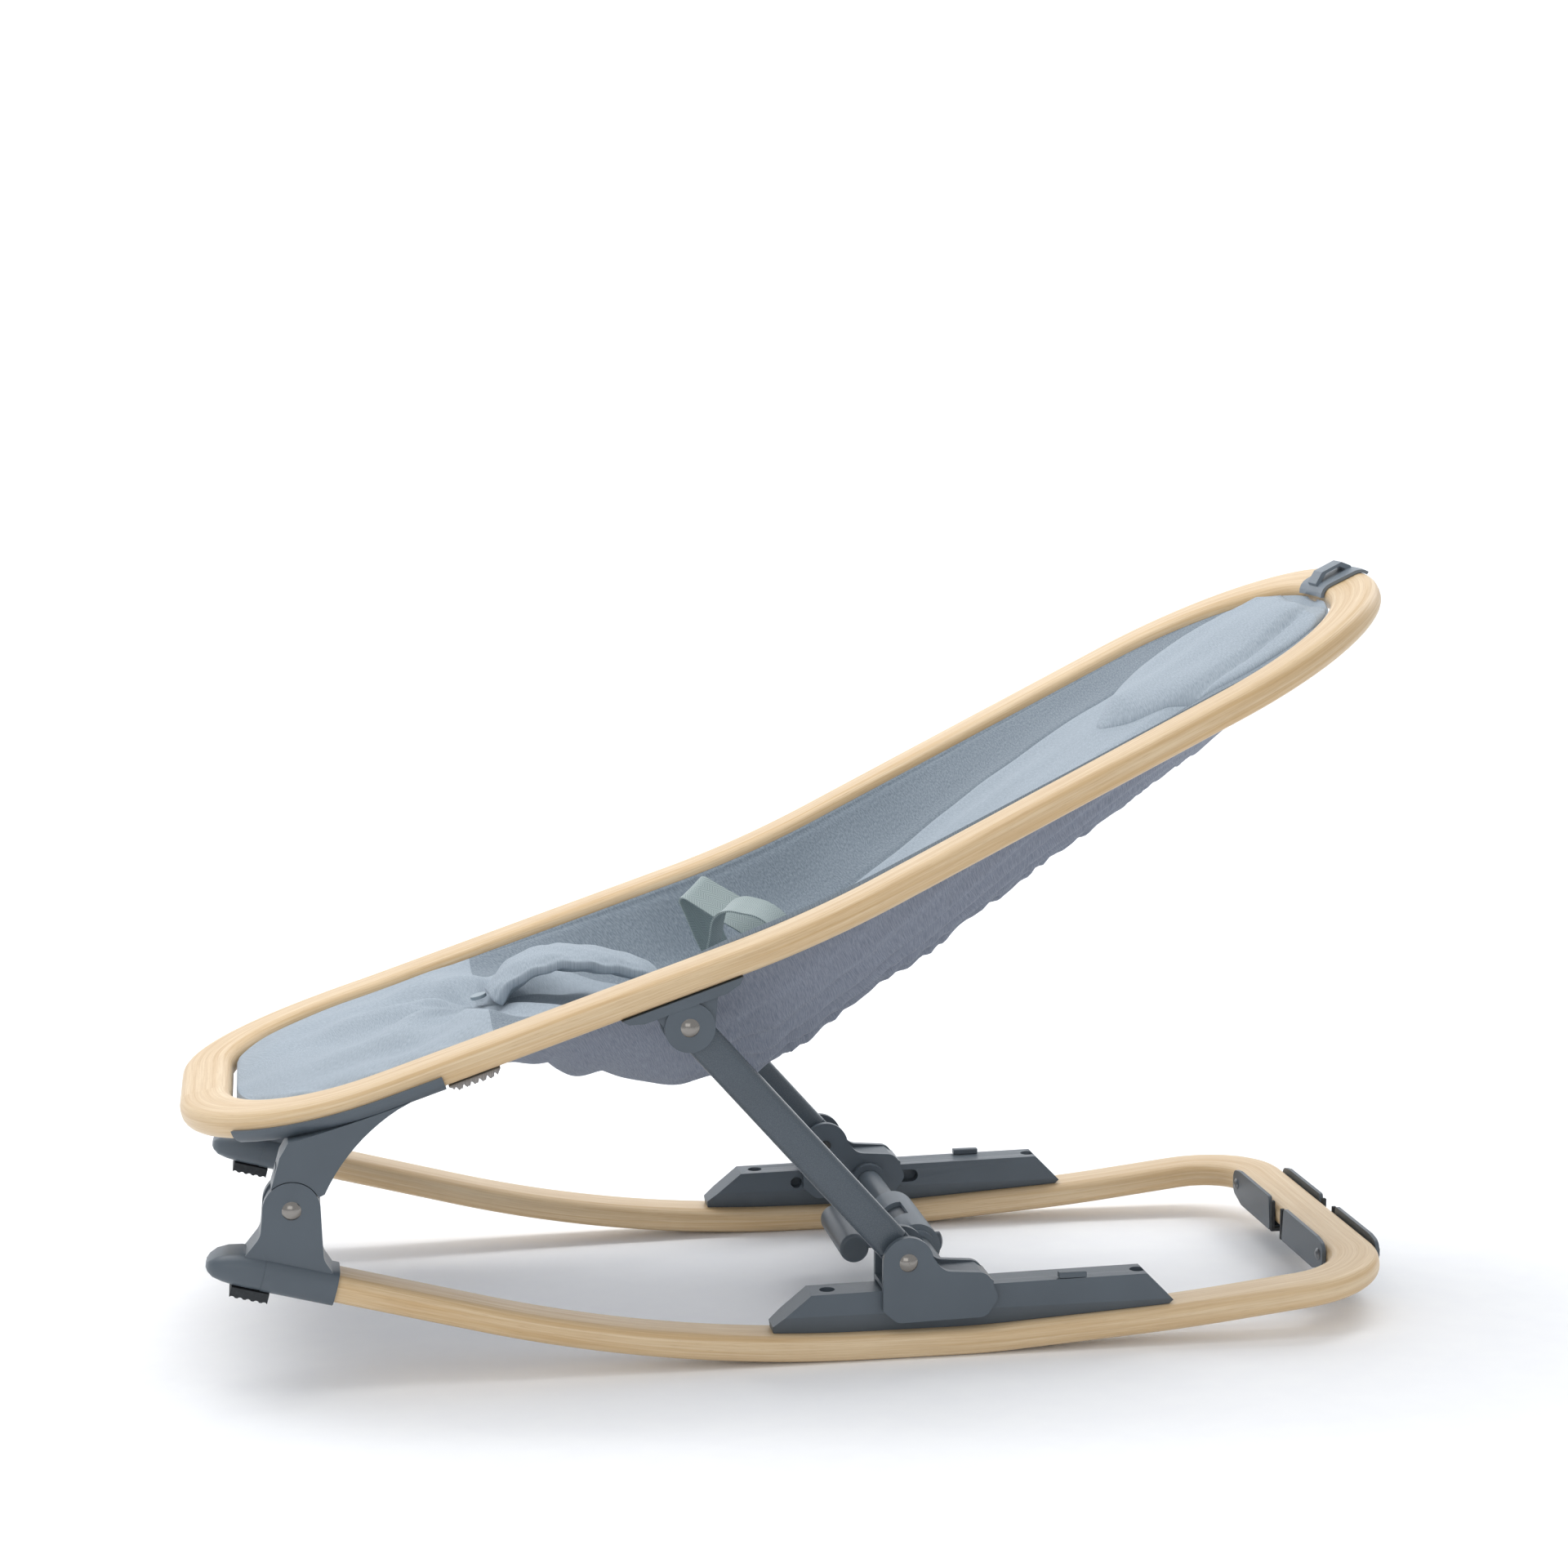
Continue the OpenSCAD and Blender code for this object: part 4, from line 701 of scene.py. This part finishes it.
def set_uv(ob, scale=1.0, swap=False):
    """UV in metres from the two widest directions of the piece, seen from above."""
    layer = ob.data.uv_layers.get("UVMap") or ob.data.uv_layers.new(name="UVMap")
    co = np.array([v.co for v in ob.data.vertices])
    loops = np.zeros(len(ob.data.loops), np.int32)
    ob.data.loops.foreach_get("vertex_index", loops)
    pick = co[loops]
    uv = np.stack([pick[:, 1], pick[:, 0] / 0.9], 1) if not swap else np.stack([pick[:, 0] / 0.9, pick[:, 1]], 1)
    layer.data.foreach_set("uv", (uv * scale).astype(np.float32).ravel())

def liner_point(u, t):
    half = inner_half(u)
    x = ring_at(u)[0]
    return x, t * half, float(liner_height(u, x, t * half, np.float64(t)))

PAD_U0, PAD_U1 = 0.775 * RING_LEN, 0.967 * RING_LEN

def pad_half(k):
    round_tip = math.sin(math.pi / 2 * min(1, k * 1.7)) ** 0.8
    return (0.004 + 0.092 * round_tip) * (1 - 0.10 * k ** 5)

def head_pad():
    n, m = ((90, 56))
    verts = []
    for i in range(n + 1):
        k = i / n
        u = PAD_U0 + (PAD_U1 - PAD_U0) * k
        w = min(pad_half(k), inner_half(u) * 0.93)
        end = min(1, math.sin(math.pi * min(max(k, 0.0), 1.0)) * 3.2)
        ring_pts = []
        for j in range(m + 1):
            s = -1 + 2 * j / m
            x, y, z = liner_point(u, s * w / inner_half(u))
            puff = 0.0125 * end * (1 - abs(s) ** 2.4) ** 0.6
            puff += 0.0006 * float(wave_noise(np.float64(x), np.float64(y), 0.05, 31)) * end
            ring_pts.append((x, y, z + 0.0006 + puff))
        for j in range(m, -1, -1):
            s = -1 + 2 * j / m
            x, y, z = liner_point(u, s * w / inner_half(u))
            ring_pts.append((x, y, z - 0.0012))
        verts += ring_pts
    ob = mesh_object("head_pad_cloth", verts, tube_faces(n + 1, 2 * m + 2), True)
    set_uv(ob)
    return ob

pad = head_pad()
pad.data.materials.append(liner_cloth)
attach(pad, "seat")
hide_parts("head_pillow")

def strip_rings(way, start, n):
    whole = sum(l for l, _ in way)
    return [walk(way, whole * i / n, start) for i in range(n + 1)]

def crotch_piece():
    way = [(0.014, -16), (0.044, -48), (0.052, -14), (0.044, -72)]
    x0 = -0.214
    z0 = liner_point(ring_u(x0), 0)[2]
    rings = strip_rings(way, (x0, z0 + 0.005, 62), 60)
    m = 40
    verts = []
    for i, (x, z, a) in enumerate(rings):
        k = i / (len(rings) - 1)
        half = 0.033 * (0.86 + 0.14 * math.sin(math.pi * min(1, k * 1.6)))
        for j in range(m):
            b = 2 * math.pi * j / m
            w = half * math.copysign(abs(math.cos(b)) ** 0.7, math.cos(b))
            s = abs(w) / half
            thick = 0.0050 + 0.0026 * (1 - s ** 2)
            groove = 0.0016 * math.exp(-((s - 0.84) / 0.045) ** 2)
            t = math.copysign(min(abs(math.sin(b)), 1) ** 0.45, math.sin(b)) * (thick - groove)
            t += 0.0008 * math.sin(k * 46 + 3 * math.cos(b)) * s + 0.0007 * math.sin(k * 19 + 7 * w / half)
            verts.append((x - t * math.sin(a), w, z + t * math.cos(a)))
    ob = mesh_object("crotch_piece_cloth", verts, tube_faces(len(rings), m), True)
    set_uv(ob)
    return ob

crotch = crotch_piece()
crotch.data.materials.append(liner_cloth)
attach(crotch, "seat")
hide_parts("crotch_strap")

# Waist webbing, as in the CAD: fold's corner, direction across, direction up the front part, front
# length, and the stretches from the lower end on
STRAPS = {
    "left": ((-0.080, -0.025, 0.301), (0.705, 0.452, 0.546), (-0.388, -0.397, 0.832), 0.092,
             [(0.092, 0), (0.014, -110), (0.044, 0), (0.030, -30), (0.012, 0)]),
    "right": ((-0.066, -0.087, 0.296), (0.541, 0.803, 0.248), (0.118, -0.363, 0.924), 0.078,
              [(0.078, 0), (0.026, -82), (0.010, 0), (0.034, -70), (0.004, 0)])}
WEB_W, WEB_T = 0.025, 0.0014

def webbing_strap(side):
    fold, axis, rise_to, rise, way = STRAPS[side]
    w, up = Vector(axis).normalized(), Vector(rise_to).normalized()
    ahead = w.cross(up)
    foot = Vector(fold) - up * rise
    whole = sum(l for l, _ in way)
    n, m_w = 110, 12
    section = [(WEB_W * j / m_w, -WEB_T / 2) for j in range(m_w + 1)] + [(WEB_W * j / m_w, WEB_T / 2) for j in range(m_w, -1, -1)]
    m = len(section)
    verts = []
    for i in range(n + 1):
        px, pz, a = walk(way, whole * i / n, (0, 0, 90))
        for q, t in section:
            cup = 0.0006 * (2 * q / WEB_W - 1) ** 2 + 0.0004 * math.sin(i * 0.23 + q * 90)
            verts.append(foot + ahead * (px - (t + cup) * math.sin(a)) + up * (pz + (t + cup) * math.cos(a)) + w * q)
    ob = mesh_object("waist_webbing_" + side, verts, tube_faces(n + 1, m), True)
    layer = ob.data.uv_layers.new(name="UVMap")
    loops = np.zeros(len(ob.data.loops), np.int32)
    ob.data.loops.foreach_get("vertex_index", loops)
    around = np.array([q for q, _ in section])
    uv = np.stack([(loops // m) * whole / n, around[loops % m]], 1)
    layer.data.foreach_set("uv", uv.astype(np.float32).ravel())
    ob.data.set_sharp_from_angle(angle=math.radians(50))
    ob.data.materials.append(belt)
    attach(ob, "seat")
    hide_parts("waist_strap_" + side)

for side in STRAPS:
    webbing_strap(side)

def liner_tab(side, sign):
    """Cloth tab gathered flat under the strip, behind the front bracket."""
    n, m = 44, 24
    u0 = ring_u(-0.264) + 0.002
    verts = []
    for i in range(n + 1):
        p = ring_at(u0 + 0.037 * i / n)
        end = min(1, 7 * i / n + 0.25, 7 * (n - i) / n + 0.25)
        fold = 0.0014 * math.sin(i * 0.95) + 0.0008 * math.sin(i * 1.9 + 1)
        for j in range(m):
            a = 2 * math.pi * j / m
            w = 0.0125 * math.copysign(abs(math.cos(a)) ** 0.6, math.cos(a))
            t = math.copysign(abs(math.sin(a)) ** 0.7, math.sin(a))
            low = t < 0
            down = WOOD_T / 2 + 0.0004 + (0.0008 if not low else (0.0044 + fold + 0.0006 * math.sin(j * 2.1 + i)) * end)
            x, y, z = lay(p, -RING_HALF, 0, w, -down)
            verts.append((x, y if sign < 0 else -y, z))
    faces = tube_faces(n + 1, m)
    ob = mesh_object("liner_tab_cloth_" + side, verts, faces if sign < 0 else [f[::-1] for f in faces], True)
    set_uv(ob)
    ob.data.materials.append(binding)
    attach(ob, "seat")
    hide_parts("liner_tab_" + side)

liner_tab("left", -1)
liner_tab("right", 1)
